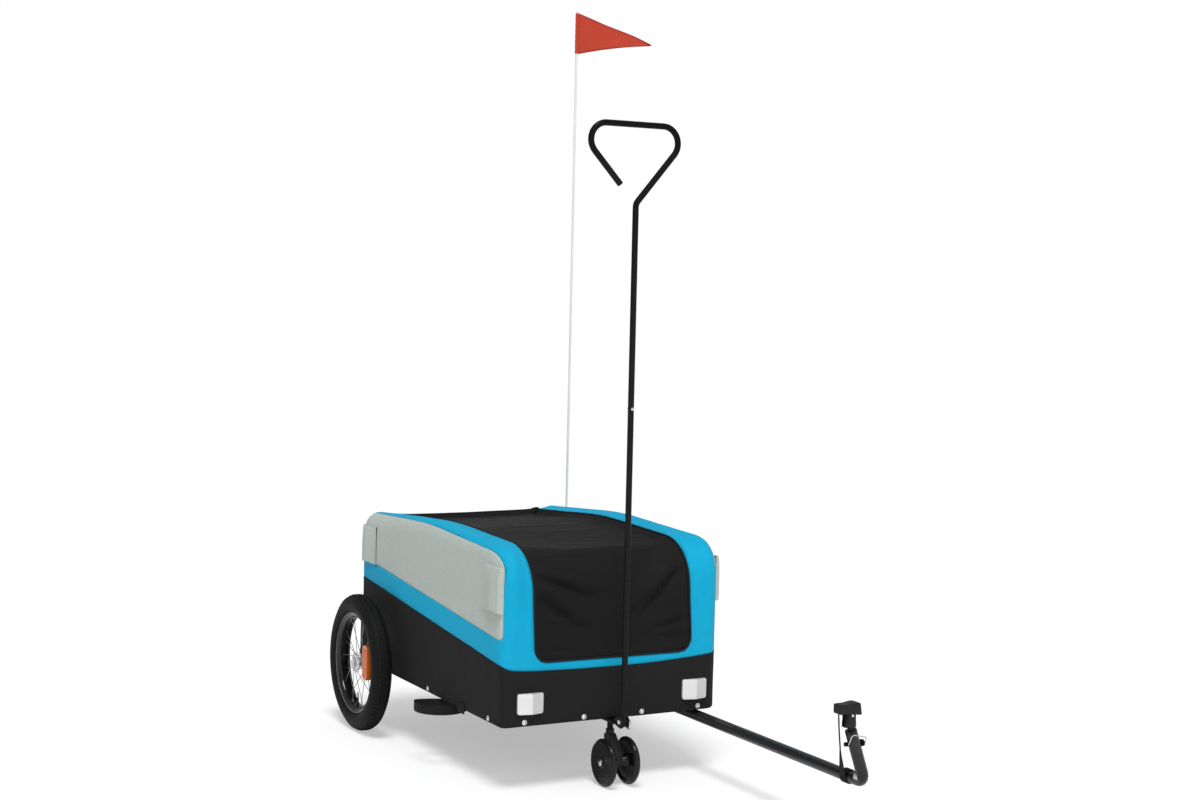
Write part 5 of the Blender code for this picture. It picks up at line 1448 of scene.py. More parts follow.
def make_storage_loop():
    """The webbing loop under the right rail, standing on edge, its ends lapped and sewn."""
    low, high = trailer_box("storage_loop")
    height, half = high.z - low.z, STRAP_THICK / 2
    ribs = 15
    bm = bmesh.new()
    rings = []
    steps = 120
    for step in range(steps):
        turn = math.tau * (step + 0.5) / steps
        section = []
        for k in range(ribs + 1):
            z = high.z - 0.0004 - (height - 0.0006) * k / ribs
            section.append((half - (0.0003 if k % 2 else 0.0), z))
        section += [(-half, z) for _, z in reversed(section)]
        lean = 0.0016 * math.sin(turn)
        ring = []
        for out, z in section:
            place, _ = storage_place(turn, out + lean * (high.z - z) / height)
            ring.append(bm.verts.new((place.x, place.y, z)))
        rings.append(ring)
    wall_rings(bm, rings + rings[:1])
    make_piece(
        "storage_webbing", bm, "trailer_body", "webbing", "storage_loop", angle=60
    )

    patch = bmesh.new()
    bmesh.ops.create_grid(patch, x_segments=16, y_segments=8, size=0.5)
    for vert in patch.verts:
        y = 0.190 + 0.034 * vert.co.x
        z = 0.1345 + 0.0195 * vert.co.y
        vert.co = (-HALF_WIDTH - 0.0012 - 0.0004 * ripple(Vector((0, y, z)), 0.012, 2.0), y, z)
    bmesh.ops.recalc_face_normals(patch, faces=patch.faces)
    lap = make_piece("storage_lap", patch, "trailer_body", "webbing", (), recalc=False)
    thicken(lap, 0.0018, 0)
    out = Vector((-1, 0, 0))
    box = [
        Vector((-HALF_WIDTH - 0.0024, y, z))
        for y, z in ((0.177, 0.128), (0.203, 0.128), (0.203, 0.141), (0.177, 0.141))
    ]
    sides_and_cross = ((0, 1), (1, 2), (2, 3), (3, 0), (0, 2), (1, 3))
    lines = [
        [(box[first].lerp(box[second], k / 8), out) for k in range(9)]
        for first, second in sides_and_cross
    ]
    make_thread(
        "storage_stitching",
        open_runs(lines),
        "trailer_body",
        "black thread",
        "webbing",
        lift=0.0,
        pitch=0.0036,
        length=0.0026,
        radius=0.0004,
    )


# ---- fasteners on the skirt


RIVET_HEIGHT = 0.0095
RIVET_XS = (-0.1974, -0.0658, 0.0658, 0.1974)
RIVET_YS = (0.062, 0.363, 0.664)


def make_rivets():
    """Domed rivets through the skirt's hem into the rails, each on a thin washer."""
    bm = bmesh.new()
    z = BODY_BOTTOM + RIVET_HEIGHT
    spots = [((x, 0.0, z), (0, -1, 0)) for x in RIVET_XS]
    spots += [((x, BODY_LENGTH, z), (0, 1, 0)) for x in RIVET_XS]
    spots += [((s * HALF_WIDTH, y, z), (s, 0, 0)) for s in (-1, 1) for y in RIVET_YS]
    profile = [(0, 0.0026), (0.0016, 0.0025), (0.0030, 0.0019), (0.0039, 0.0010), (0.0041, 0.0005),
               (0.0053, 0.0004), (0.0054, -0.0002), (0, -0.0002)]
    for place, way in spots:
        turned(bm, profile, place, way, 24)
    make_piece("hem_rivets", bm, "trailer_body", "zinc", (), angle=50)


# ---- wheels


TYRE_LOW, TYRE_HIGH = trailer_box("right_tyre")
WHEEL_RADIUS = (TYRE_HIGH.z - TYRE_LOW.z) / 2
AXLE_Y = (TYRE_HIGH.y + TYRE_LOW.y) / 2
WHEEL_X = abs(TYRE_HIGH.x + TYRE_LOW.x) / 2
TYRE_SECTION = 0.0236
RIM_RADIUS = 0.1110
RIM_HALF = 0.0140
RIM_FLOOR = RIM_RADIUS - 0.0105
RIM_WIRE = 0.0009
RIM_WIRE_X = 0.0150
TREAD_BLOCKS = 76
SPOKES = 20
SPOKE_LEAN = math.radians(38)
FLANGE_X = 0.0100
FLANGE_RADIUS = 0.0220
HUB_HALF = 0.0145


def tyre_section():
    """The tyre's section: ribs and grooves, shoulders, side walls with a moulded line, beads."""
    middle = WHEEL_RADIUS - TYRE_SECTION
    sweep = 122
    points = [(RIM_RADIUS + 0.0003, RIM_HALF)]
    angle = float(sweep)
    while angle >= -sweep - 0.01:
        size = abs(angle)
        deep = 0.0
        for groove in (0.0, 17.0):
            deep = max(deep, 0.0011 * math.exp(-(((size - groove) / 2.3) ** 4)))
        if 36 < size < 40:
            deep = 0.0006
        if 78 < size < 83:
            deep = -0.0004
        radius = TYRE_SECTION - deep - (0.0010 if size > 40 else 0.0)
        points.append(
            (
                middle + radius * math.cos(math.radians(angle)),
                radius * math.sin(math.radians(angle)),
            )
        )
        angle -= 2 if size <= 42 or 74 < size < 88 else 4
    points.append((RIM_RADIUS + 0.0003, -RIM_HALF))
    return points


def rim_section():
    """A deep rim: bead flanges, sloping walls and a crowned floor that the nipples come through."""
    upper = [
        (RIM_FLOOR - 0.0003, 0.0),
        (RIM_FLOOR, 0.0060),
        (RIM_FLOOR + 0.0004, 0.0096),
        (RIM_FLOOR + 0.0016, 0.0111),
        (RIM_FLOOR + 0.0036, 0.0119),
        (RIM_RADIUS - 0.0038, 0.0134),
        (RIM_RADIUS - 0.0010, 0.0146),
        (RIM_RADIUS, 0.0142),
        (RIM_RADIUS, RIM_HALF - 0.0020),
        (RIM_RADIUS - 0.0030, RIM_HALF - 0.0050),
        (RIM_RADIUS - 0.0042, 0.0),
    ]
    lower = [(radius, -height) for radius, height in reversed(upper[1:-1])]
    return upper + lower


def spoke_line(index):
    """Where one spoke starts on its hub flange and ends at the rim, from the wheel's centre."""
    side = 1 if index % 2 else -1
    angle = math.tau * index / SPOKES
    foot = angle - side * SPOKE_LEAN
    radius = FLANGE_RADIUS - 0.003
    start = Vector((side * FLANGE_X, radius * math.cos(foot), radius * math.sin(foot)))
    reach = RIM_FLOOR - 0.0006
    end = Vector((side * 0.003, reach * math.cos(angle), reach * math.sin(angle)))
    return start, end, side


def stick(bm, start, end, radius, end_radius=None, sides=8):
    """A rod or cone from start to end, added to the bmesh."""
    along = end - start
    bmesh.ops.create_cone(
        bm,
        cap_ends=True,
        segments=sides,
        radius1=radius,
        radius2=radius if end_radius is None else end_radius,
        depth=along.length,
        matrix=Matrix.Translation((start + end) / 2) @ facing(along),
    )


def make_wheel(side, sign):
    """One wheel: tyre with tread blocks, rim, hub, spokes, valve, reflector and axle."""
    body = f"{side}_wheel"
    centre = Vector((sign * WHEEL_X, AXLE_Y, WHEEL_RADIUS))
    axis = (sign, 0, 0)
    tyre = turned(bmesh.new(), tyre_section(), centre, axis, 128, closed=True)
    middle = WHEEL_RADIUS - TYRE_SECTION
    for flank in (-1, 1):
        for k in range(TREAD_BLOCKS):
            spin = math.tau * (k + (0.5 if flank > 0 else 0)) / TREAD_BLOCKS
            tilt = math.radians(27.5 * flank)
            turn = Quaternion((1, 0, 0), spin) @ Quaternion((0, 1, 0), tilt)
            out = turn @ Vector((0, 0, TYRE_SECTION - 0.0001))
            ring = Quaternion((1, 0, 0), spin) @ Vector((0, 0, middle))
            block = Matrix.Translation(centre + ring + out) @ turn.to_matrix().to_4x4()
            scale = Matrix.Diagonal((0.0074, 0.0070, 0.0018, 1))
            bmesh.ops.create_cube(tyre, size=1, matrix=block @ scale)
            crown = Quaternion((1, 0, 0), spin) @ Vector((0.0031 * flank, 0, WHEEL_RADIUS - 0.0003))
            knob = Matrix.Translation(centre + crown)
            knob = knob @ Quaternion((1, 0, 0), spin).to_matrix().to_4x4()
            scale = Matrix.Diagonal((0.0044, 0.0066, 0.0014, 1))
            bmesh.ops.create_cube(tyre, size=1, matrix=knob @ scale)
    make_piece(f"{side}_tyre_rubber", tyre, body, "rubber", f"{side}_tyre", angle=42)

    rim = turned(bmesh.new(), rim_section(), centre, axis, 128, closed=True)
    make_piece(f"{side}_rim", rim, body, "rim black", f"{side}_wheel_rim")
    bright = bmesh.new()
    for edge in (-1, 1):
        ring = [
            (
                RIM_RADIUS - 0.0007 + RIM_WIRE * math.cos(a),
                edge * RIM_WIRE_X + RIM_WIRE * math.sin(a),
            )
            for a in (math.tau * k / 8 for k in range(8))
        ]
        turned(bright, ring, centre, axis, 128, closed=True)
    make_piece(f"{side}_rim_edge", bright, body, "rim edge", (), angle=60)

    hub = bmesh.new()
    half = HUB_HALF
    barrel = [
        (0.0064, half), (0.0112, half), (0.0122, half - 0.0006), (0.0128, half - 0.0022),
        (0.0150, FLANGE_X + 0.0020), (FLANGE_RADIUS - 0.0040, FLANGE_X + 0.0017),
        (FLANGE_RADIUS - 0.0034, FLANGE_X + 0.0012), (FLANGE_RADIUS - 0.0010, FLANGE_X + 0.0012),
        (FLANGE_RADIUS, FLANGE_X + 0.0006), (FLANGE_RADIUS, FLANGE_X - 0.0010),
        (FLANGE_RADIUS - 0.0008, FLANGE_X - 0.0018), (0.0135, FLANGE_X - 0.0026),
        (0.0112, FLANGE_X - 0.0050), (0.0104, 0.0020), (0.0104, 0.0),
    ]
    barrel += [(radius, -height) for radius, height in reversed(barrel[:-1])]
    turned(hub, barrel, centre, axis, 56, closed=True)
    rods = bmesh.new()
    for index in range(SPOKES):
        start, end, way = spoke_line(index)
        place = Matrix.Translation(centre)
        stick(rods, place @ start, place @ end, 0.0007, sides=8)
        bmesh.ops.create_icosphere(
            rods, subdivisions=1, radius=0.0019,
            matrix=Matrix.Translation(centre + start + Vector((way * 0.0016, 0, 0))),
        )
        inward = (start - end).normalized()
        stick(rods, centre + end, centre + end + inward * 0.0060, 0.0018, 0.0013, 8)
    make_piece(f"{side}_spokes", rods, body, "spoke steel", (), angle=45)
    make_piece(
        f"{side}_hub", hub, body, "bright alloy", f"{side}_hub_and_spokes", angle=45
    )

    dark = bmesh.new()
    seal_in, seal_out = 0.0098, 0.0116
    seal_top, seal_foot = half + 0.0003, half - 0.0008
    seal = [(seal_in, seal_top), (seal_out, seal_top), (seal_out, seal_foot), (seal_in, seal_foot)]
    turned(dark, seal, centre, axis, 40, closed=True)
    valve = centre + Vector((0, 0.012, -RIM_FLOOR))
    stick(dark, valve, valve + Vector((0, 0, 0.020)), 0.0030, 0.0026, 16)
    make_piece(f"{side}_valve_and_seal", dark, body, "plastic", (), angle=45)
    cap = bmesh.new()
    stick(cap, valve + Vector((0, 0, 0.0195)), valve + Vector((0, 0, 0.0300)), 0.0030, 0.0024, 12)
    make_piece(f"{side}_valve_cap", cap, body, "bright alloy", (), angle=45)

    low, high = trailer_box(f"{side}_spoke_reflector")
    make_spoke_reflector(side, sign, low, high, body)
    make_axle(side, sign)


def make_axle(side, sign):
    """The wheel's axle: its shaft, a washer, a hexagon nut and the end of the thread."""
    low, high = trailer_box(f"{side}_axle")
    inner, end = sorted((abs(low.x), abs(high.x)))
    face = end - 0.0060
    place = Vector((0, AXLE_Y, WHEEL_RADIUS))
    profile = [
        (0, inner), (0.0060, inner), (0.0060, face), (0.0104, face), (0.0105, face + 0.0003),
        (0.0103, face + 0.0013), (0.0088, face + 0.0015), (0.0040, face + 0.0015),
        (0.0040, end - 0.0006), (0.0032, end), (0, end),
    ]
    bm = turned(bmesh.new(), profile, place, (sign, 0, 0), 40)
    nut = bmesh.new()
    bmesh.ops.create_cone(
        nut, cap_ends=True, segments=6, radius1=0.0078, radius2=0.0078, depth=0.0034
    )
    corners = [edge for edge in nut.edges if abs(edge.verts[0].co.z - edge.verts[1].co.z) < 1e-6]
    round_edges(nut, corners, 0.0006, 2)
    spot = Matrix.Translation(place + Vector((sign * (face + 0.0032), 0, 0)))
    bmesh.ops.transform(nut, matrix=spot @ facing((sign, 0, 0)), verts=nut.verts)
    pour(nut, bm)
    make_piece(
        f"{side}_axle_and_nut", bm, "trailer_body", "bright alloy", f"{side}_axle"
    )


def make_spoke_reflector(side, sign, low, high, body):
    """A ribbed orange reflector clipped across the outer spokes."""
    centre, size = (low + high) / 2 + Vector((sign * 0.001, 0, 0.0025)), high - low
    bm = bmesh.new()
    bmesh.ops.create_cube(bm, size=1)
    bmesh.ops.scale(bm, vec=size, verts=bm.verts)
    round_edges(bm, edges_across(bm), 0.0095, 7)
    bm.normal_update()
    faces = [face for face in bm.faces if abs(face.normal.x) > 0.99]
    bmesh.ops.inset_individual(bm, faces=faces, thickness=0.0010, depth=0.0)
    bmesh.ops.inset_individual(bm, faces=faces, thickness=0.0026, depth=-0.0006)
    bmesh.ops.inset_individual(bm, faces=faces, thickness=0.0008, depth=-0.0016)
    rims = [edge for edge in bm.edges if abs(abs(edge.verts[0].co.x) - size.x / 2) < 1e-6
            and abs(abs(edge.verts[1].co.x) - size.x / 2) < 1e-6 and edge.calc_face_angle(0) > 1.0]
    round_edges(bm, rims, 0.0010, 2)
    bmesh.ops.translate(bm, vec=centre, verts=bm.verts)
    for face in (-1, 1):
        for k in range(-2, 3):
            slab(
                bm,
                centre + Vector((face * (size.x / 2 - 0.0022), k * 0.0034, 0)),
                (0.0016, 0.0022, size.z - 0.016),
                0.0007,
                1,
            )
    for up in (-0.017, 0.017):
        slab(
            bm,
            (centre.x - sign * 0.0035, high.y + 0.0045, centre.z + up),
            (0.0030, 0.0110, 0.0062),
            0.0010,
        )
    make_piece(
        f"{side}_wheel_reflector", bm, body, "orange lens", f"{side}_spoke_reflector"
    )


CASTER_X = 0.0262
CASTER_TREAD = 0.0144


def make_casters():
    """The twin caster wheels: gloss discs with a moulded rim line and a raised hub."""
    for side, sign in (("right", -1), ("left", 1)):
        low, high = trailer_box(f"caster_{side}_wheel")
        radius = (high.z - low.z) / 2
        half = CASTER_TREAD / 2
        centre = Vector((sign * CASTER_X, (low.y + high.y) / 2, (low.z + high.z) / 2))
        hub_in = min(abs(low.x), abs(high.x)) - CASTER_X
        profile = [
            (0.0044, 0.0080), (0.0088, 0.0080), (0.0098, 0.0074), (0.0112, 0.0048),
            (0.0220, 0.0052),
            (0.0330, 0.0060), (0.0362, 0.0064), (0.0370, 0.0054), (0.0382, 0.0054),
            (0.0390, 0.0066),
            (0.0420, half), (radius - 0.0030, half - 0.0014), (radius - 0.0010, half - 0.0034),
            (radius, half - 0.0058), (radius, 0.0058 - half), (radius - 0.0010, 0.0034 - half),
            (radius - 0.0030, 0.0014 - half), (0.0420, -half), (0.0390, -0.0066), (0.0370, -0.0046),
            (0.0340, -0.0030), (0.0150, -0.0030), (0.0120, -0.0060), (0.0095, hub_in),
            (0.0044, hub_in),
        ]
        bm = turned(bmesh.new(), profile, centre, (sign, 0, 0), 72, closed=True)
        make_piece(
            f"caster_{side}_disc", bm, f"caster_{side}_roller", "gloss plastic",
            f"caster_{side}_wheel",
        )


# ---- steel tubes and the hitch


HANDLE_TOP = 1.3095
HANDLE_CORNERS = [(0, 1.156), (0.130, HANDLE_TOP), (-0.1445, HANDLE_TOP), (-0.0355, 1.1925)]
HANDLE_RADII = [0.020, 0.033, 0.033]
STEM_SLANT = 0.45


def hollow_ends(bm, wall=0.0014, depth=0.006):
    """Turns a tube's flat end faces into open tube ends with a wall."""
    bm.normal_update()
    ends = [face for face in bm.faces if len(face.verts) > 8]
    for face in ends:
        bmesh.ops.inset_individual(bm, faces=[face], thickness=wall, depth=0.0)
        way = face.normal.copy()
        made = bmesh.ops.extrude_discrete_faces(bm, faces=[face])
        inner = made["faces"][0]
        bmesh.ops.translate(bm, vec=way * -depth, verts=inner.verts)


def make_tubes():
    """The handle's two tubes and the tow bar, as round bent tube, the handle's upper tube with open
    ends.
    """
    low, high = trailer_box("handle_lower_tube")
    y = (low.y + high.y) / 2
    radius = (high.x - low.x) / 2
    joint = trailer_box("handle_upper_tube")[0].z
    bm = merged(tube([(0, y, low.z), (0, y, joint - 0.0003)], radius, 32))
    for vert in bm.verts:
        if vert.co.z < low.z + 0.001:
            vert.co.z += STEM_SLANT * (vert.co.x + radius)
    make_piece(
        "handle_stem", bm, "handle", "black paint", "handle_lower_tube", angle=40
    )

    corners = [(0, joint)] + HANDLE_CORNERS
    path = rounded([(x, y, z) for x, z in corners], HANDLE_RADII, 14)
    bm = merged(tube(path, radius, 32))
    hollow_ends(bm)
    make_piece(
        "handle_grip_tube",
        bm,
        "handle",
        "black paint",
        "handle_upper_tube",
        angle=40,
    )

    path = rounded([(TOW_X, BAR_END_Y, TOW_Z), TOW_CORNER, TOW_END], [0.020], 20)
    bm = tube(path, TOW_RADIUS, 40)
    make_piece("tow_tube", bm, "towing_arm", "tow paint", "tow_bar", angle=40)


def dress_hitch():
    """The hitch head's block with the ball's cup, and its rivet."""
    bm = bmesh.new()
    bmesh.ops.create_cube(bm, size=1)
    bmesh.ops.scale(bm, vec=HEAD_SIZE, verts=bm.verts)
    bmesh.ops.subdivide_edges(bm, edges=edges_across(bm), cuts=7)
    for vert in bm.verts:
        share = vert.co.x / HEAD_SIZE.x
        if vert.co.z > 0:
            hump = 0.0024 * soft_step(share, -0.15, 0.28)
            vert.co.z += hump - 0.0012 * soft_step(share, 0.42, 0.5)
        elif share > 0.25:
            vert.co.z -= 0.0030 * soft_step(share, 0.25, 0.4)
        if share > 0.45:
            vert.co.x += 0.0028 * (0.5 - vert.co.z / HEAD_SIZE.z)
    bm.normal_update()
    sharp = [edge for edge in bm.edges if edge.calc_face_angle(0) > 0.7]
    round_edges(bm, sharp, 0.0022, 3)
    bmesh.ops.translate(bm, vec=HEAD, verts=bm.verts)
    radius = CUP_RADIUS
    cup = [
        (0.0, 0.0262), (radius * 0.92, 0.0262), (radius, 0.0250), (radius, 0.006),
        (radius + 0.0006, 0.004), (radius + 0.0006, -0.0050), (radius - 0.0006, -0.0060),
        (0.0098, -0.0060), (0.0098, 0.0), (0.0070, 0.0078), (0.0, 0.0100),
    ]
    turned(bm, cup, BALL, steps=40)
    make_piece("hitch_block", bm, "hitch", "plastic", "hitch_head", angle=40)
    bright = bmesh.new()
    dome = [(0, 0.0016), (0.0012, 0.0014), (0.0022, 0.0007), (0.0025, 0.0), (0, 0.0)]
    turned(bright, dome, BALL + Vector((-0.0010, -radius - 0.0004, 0.0165)), (0, -1, 0), 20)
    make_piece("hitch_rivet", bright, "hitch", "zinc", (), angle=50)


def make_fabric_trim():
    """The pouches, the pennant, the webbing and the rivets."""
    for side in ("right", "left"):
        for end in ("front", "rear"):
            make_pouch(side, end)
    make_pennant()
    make_tether()
    make_storage_loop()
    make_rivets()


def make_hitch_pin():
    """The pin across the tow bar's upright with its spring wire, and the nut at the bend."""
    low, high = trailer_box("hitch_pin")
    radius = 0.0040
    head_face = high.x - PIN.x - 0.0050
    nose = PIN.x - low.x
    head = [
        (0, head_face + 0.0050),
        (radius + 0.0008, head_face + 0.0050),
        (radius + 0.0022, head_face + 0.0044),
        (radius + 0.0025, head_face + 0.0034),
        (radius + 0.0025, head_face + 0.0006),
        (radius + 0.0018, head_face),
        (radius, head_face),
        (radius, 0.0012 - nose),
        (radius - 0.0012, -nose),
        (0, -nose),
    ]
    bm = turned(bmesh.new(), head, PIN, (1, 0, 0), 32)
    for vert in bm.verts:
        if vert.co.x > PIN.x + head_face - 0.0002:
            offset = vert.co - PIN
            vert.co.y = PIN.y + offset.y * (1 + 0.25 * abs(offset.y) / 0.0065)
    make_piece(
        "hitch_pin_body", bm, "towing_arm", "black paint", "hitch_pin", angle=40
    )

    wire = 0.0010
    off = Vector((0, -radius - wire - 0.0003, 0))
    right = PIN + Vector((-0.0158, 0, 0))
    left = PIN + Vector((head_face + 0.0030, -0.0034, 0))
    path = rounded(
        [
            right + off,
            right + off + Vector((0.001, -0.009, 0.020)),
            left + off + Vector((-0.001, -0.006, 0.0125)),
            left + off,
        ],
        [0.005, 0.005],
        8,
    )
    bail = tube(path, wire, 12)
    make_piece("hitch_pin_wire", bail, "towing_arm", "zinc", "hitch_pin_bail")

    nut = bmesh.new()
    inside = TOW_CORNER + Vector((-0.0150, 0.0060, 0.0105))
    slab(nut, inside, (0.0055, 0.0100, 0.0095), 0.0010)
    make_piece("bend_nut", nut, "towing_arm", "satin metal", ())


def bored_block(centre, half_width, bottom, top, bore, front, back, steps=48):
    """A block with a round bore along Y through it, as a new bmesh."""
    bm = bmesh.new()
    rings = []
    for y in (front, back):
        outer, inner = [], []
        for k in range(steps):
            angle = math.tau * k / steps
            way = Vector((math.cos(angle), 0, math.sin(angle)))
            reach = min(
                half_width / max(abs(way.x), 1e-6),
                ((top - centre.z) if way.z > 0 else (centre.z - bottom)) / max(abs(way.z), 1e-6),
            )
            outer.append(bm.verts.new(Vector((centre.x, y, centre.z)) + way * reach))
            inner.append(bm.verts.new(Vector((centre.x, y, centre.z)) + way * bore))
        rings.append((outer, inner))
    (outer_front, inner_front), (outer_back, inner_back) = rings
    for k in range(steps):
        n = (k + 1) % steps
        bm.faces.new((outer_front[k], outer_front[n], inner_front[n], inner_front[k]))
        bm.faces.new((outer_back[n], outer_back[k], inner_back[k], inner_back[n]))
        bm.faces.new((outer_front[n], outer_front[k], outer_back[k], outer_back[n]))
        bm.faces.new((inner_front[k], inner_front[n], inner_back[n], inner_back[k]))
    return bm


KNOB_RADIUS = 0.0112
KNOB_WAVE = 0.0009
KNOB_LOBES = 5
KNOB_STEPS = 80


def make_clamps():
    """The two moulded clamps that carry the tow bar under the left rail, and the screw knob."""
    bore = TOW_RADIUS + 0.0003
    for end in ("front", "rear"):
        low, high = trailer_box(f"tow_clamp_{end}")
        half = bore + 0.0078
        middle = Vector((TOW_X, 0, TOW_Z))
        bm = bored_block(middle, half, low.z, BODY_BOTTOM - 0.0003, bore, low.y, high.y)
        slab(
            bm,
            ((TOW_X + half + high.x) / 2, (low.y + high.y) / 2, BODY_BOTTOM - 0.0021),
            (high.x - TOW_X - half + 0.002, high.y - low.y - 0.004, 0.0034),
        )
        for rib in (-1, 0, 1):
            slab(
                bm,
                (TOW_X - half - 0.0004, (low.y + high.y) / 2 + rib * 0.008, TOW_Z + 0.001),
                (0.0016, 0.0024, 0.016),
                0.0006,
                1,
            )
        obj = make_piece(
            f"tow_clamp_{end}_block",
            bm,
            "trailer_body",
            "plastic",
            f"tow_clamp_{end}",
        )
        soften(obj, 0.0008, 50)
    low, high = trailer_box("tow_clamp_knob")
    centre_y = (low.y + high.y) / 2
    face = TOW_X + bore + 0.0078 + 0.0004
    length = high.x - face
    rings = []
    bm = bmesh.new()
    shape = (
        (0.0, 0.80), (0.0012, 0.93), (0.0030, 1.0), (length - 0.0045, 1.0),
        (length - 0.0016, 0.93), (length - 0.0004, 0.80), (length, 0.55),
    )
    for x, size in shape:
        ring = []
        for k in range(KNOB_STEPS):
            angle = math.tau * k / KNOB_STEPS
            radius = (KNOB_RADIUS - KNOB_WAVE * (1 - math.cos(KNOB_LOBES * angle))) * size
            y, z = centre_y + radius * math.cos(angle), TOW_Z + radius * math.sin(angle)
            ring.append(bm.verts.new((face + x, y, z)))
        rings.append(ring)
    wall_rings(bm, rings)
    bm.faces.new(rings[0])
    bm.faces.new(rings[-1])
    shaft = (Vector((x, centre_y, TOW_Z)) for x in (TOW_X + bore, face + 0.001))
    stick(bm, *shaft, 0.0035, sides=24)
    make_piece(
        "clamp_screw_knob", bm, "clamp_knob", "plastic", "tow_clamp_knob", angle=40
    )


def make_reflectors():
    """Four reflectors: a lens pitched to a vertical ridge, moulded in fine upright ribs."""
    ends = (("front", "white lens", "white_lens"), ("rear", "red lens", "red_lens"))
    for end, look, slot in ends:
        for side in ("right", "left"):
            low, high = trailer_box(f"{side}_{end}_reflector")
            out = -1 if end == "front" else 1
            back = high.y if out < 0 else low.y
            base, ridge = 0.005, abs(high.y - low.y) - 0.005
            centre = (low.x + high.x) / 2
            half = (high.x - low.x) / 2
            columns, rows = 56, 12
            bm = bmesh.new()
            bmesh.ops.create_grid(bm, x_segments=columns, y_segments=rows, size=0.5)
            for vert in bm.verts:
                u, v = vert.co.x * 2, vert.co.y * 2
                x, z = u * half, v * (high.z - low.z) / 2
                pitch = 1 - abs(u * half - 0.001) / (half - 0.001 * (1 if u > 0 else -1))
                y = base + ridge * max(pitch, 0)
                rim = min(half - abs(x), (high.z - low.z) / 2 - abs(z))
                y -= 0.0012 * (1 - soft_step(rim, 0.0, 0.0016))
                if rim > 0.0030:
                    y -= 0.0005 + 0.00045 * (round((u + 1) * columns / 2) % 2)
                corner = 0.0040
                cx, cz = half - corner, (high.z - low.z) / 2 - corner
                if abs(x) > cx and abs(z) > cz:
                    dx, dz = abs(x) - cx, abs(z) - cz
                    far = math.hypot(dx, dz)
                    if far > 1e-9:
                        squeeze = max(dx, dz) / far
                        x = math.copysign(cx + dx * squeeze, x)
                        z = math.copysign(cz + dz * squeeze, z)
                vert.co = (centre + x, back + out * y, (low.z + high.z) / 2 + z)
            close_back(bm, lambda co: (co.x, back, co.z))
            # Faces right of the ridge take the second look; on the front lenses that is the darker
            # copy, painted shade on the half turned from the light.
            for face in bm.faces:
                face.material_index = face.calc_center_median().x > centre + 0.001
            shades = [look, "shaded lens" if end == "front" else look]
            make_piece(
                f"{side}_{end}_lens",
                bm,
                "trailer_body",
                shades,
                f"{side}_{end}_reflector",
                angle=24,
            )


def make_pole():
    """The white rod of the flag, with a moulded tip."""
    profile = [
        (0, POLE_LOW.z), (POLE_RADIUS, POLE_LOW.z), (POLE_RADIUS, POLE_HIGH.z - 0.0030),
        (POLE_RADIUS * 0.9, POLE_HIGH.z - 0.0012), (POLE_RADIUS * 0.5, POLE_HIGH.z),
        (0, POLE_HIGH.z),
    ]
    rod = turned(bmesh.new(), profile, (POLE_X, POLE_Y, 0), steps=28)
    make_piece("flag_rod", rod, "flag_mast", "rod", "flag_pole", angle=40)
    low, high = trailer_box("flag_cup")
    outer = (high.x - low.x) / 2
    bore = POLE_RADIUS + 0.0008
    profile = [
        (0, low.z), (outer - 0.0015, low.z), (outer, low.z + 0.0015), (outer, high.z - 0.0080),
        (outer, high.z - 0.0015), (outer - 0.0008, high.z), (bore + 0.0006, high.z),
        (bore, high.z - 0.0008), (bore, low.z + 0.0042), (0, low.z + 0.0038),
    ]
    cup = turned(bmesh.new(), profile, (POLE_X, POLE_Y, 0), steps=40)
    make_piece("flag_socket", cup, "trailer_body", "plastic", "flag_cup", angle=40)


def make_pull_tab():
    """The folded webbing pull at the cover's rear corner, by which the zip is opened."""
    bm = bmesh.new()
    place = Vector((OPENING_HALF - 0.0135, 0.700, 0.4700))
    slab(bm, place, (0.0110, 0.0180, 0.0022), 0.0009)
    slab(bm, place + Vector((0, -0.0050, 0.0018)), (0.0085, 0.0070, 0.0030), 0.0010)
    make_piece("cover_pull", bm, "cover", "webbing", ())


# ---- camera, light and floor


# the camera that the photo was fitted with
AZIMUTH, ELEVATION, ROLL = math.radians(-28.351), math.radians(3.304), math.radians(1.316)
CAMERA_PLACE = Vector((-1.8179, -3.2835, 0.9857))
FOCAL_PIXELS = 1896.7
PHOTO_WIDTH = 1200
SENSOR = 36
SUNS = (
    # name, energy, angle, direction
    ("key sun", 2.25, 20, (0.25, 0.50, -1.25)),
    ("front sun", 0.70, 50, (0.05, 1.0, -0.35)),
)


def seen_directly(tree):
    """1 for what the camera sees, also through glass, and 0 for what only lights the part."""
    path = node(tree, "ShaderNodeLightPath")
    return maths(
        tree, "MAXIMUM", path.outputs["Is Camera Ray"], path.outputs["Is Transmission Ray"]
    )


def make_camera(scene):
    back = Vector(
        (
            math.sin(AZIMUTH) * math.cos(ELEVATION),
            -math.cos(AZIMUTH) * math.cos(ELEVATION),
            math.sin(ELEVATION),
        )
    )
    right = (-back).cross(Vector((0, 0, 1))).normalized()
    up = right.cross(-back)
    across = right * math.cos(ROLL) + up * math.sin(ROLL)
    upright = up * math.cos(ROLL) - right * math.sin(ROLL)
    lens = bpy.data.cameras.new("photo camera")
    lens.sensor_width = SENSOR
    lens.lens = FOCAL_PIXELS * SENSOR / PHOTO_WIDTH
    lens.clip_end = 200
    camera = bpy.data.objects.new("photo camera", lens)
    turn = Matrix((across, upright, back)).transposed().to_4x4()
    camera.matrix_world = Matrix.Translation(CAMERA_PLACE + SHIFT) @ turn
    scene.collection.objects.link(camera)
    scene.camera = camera


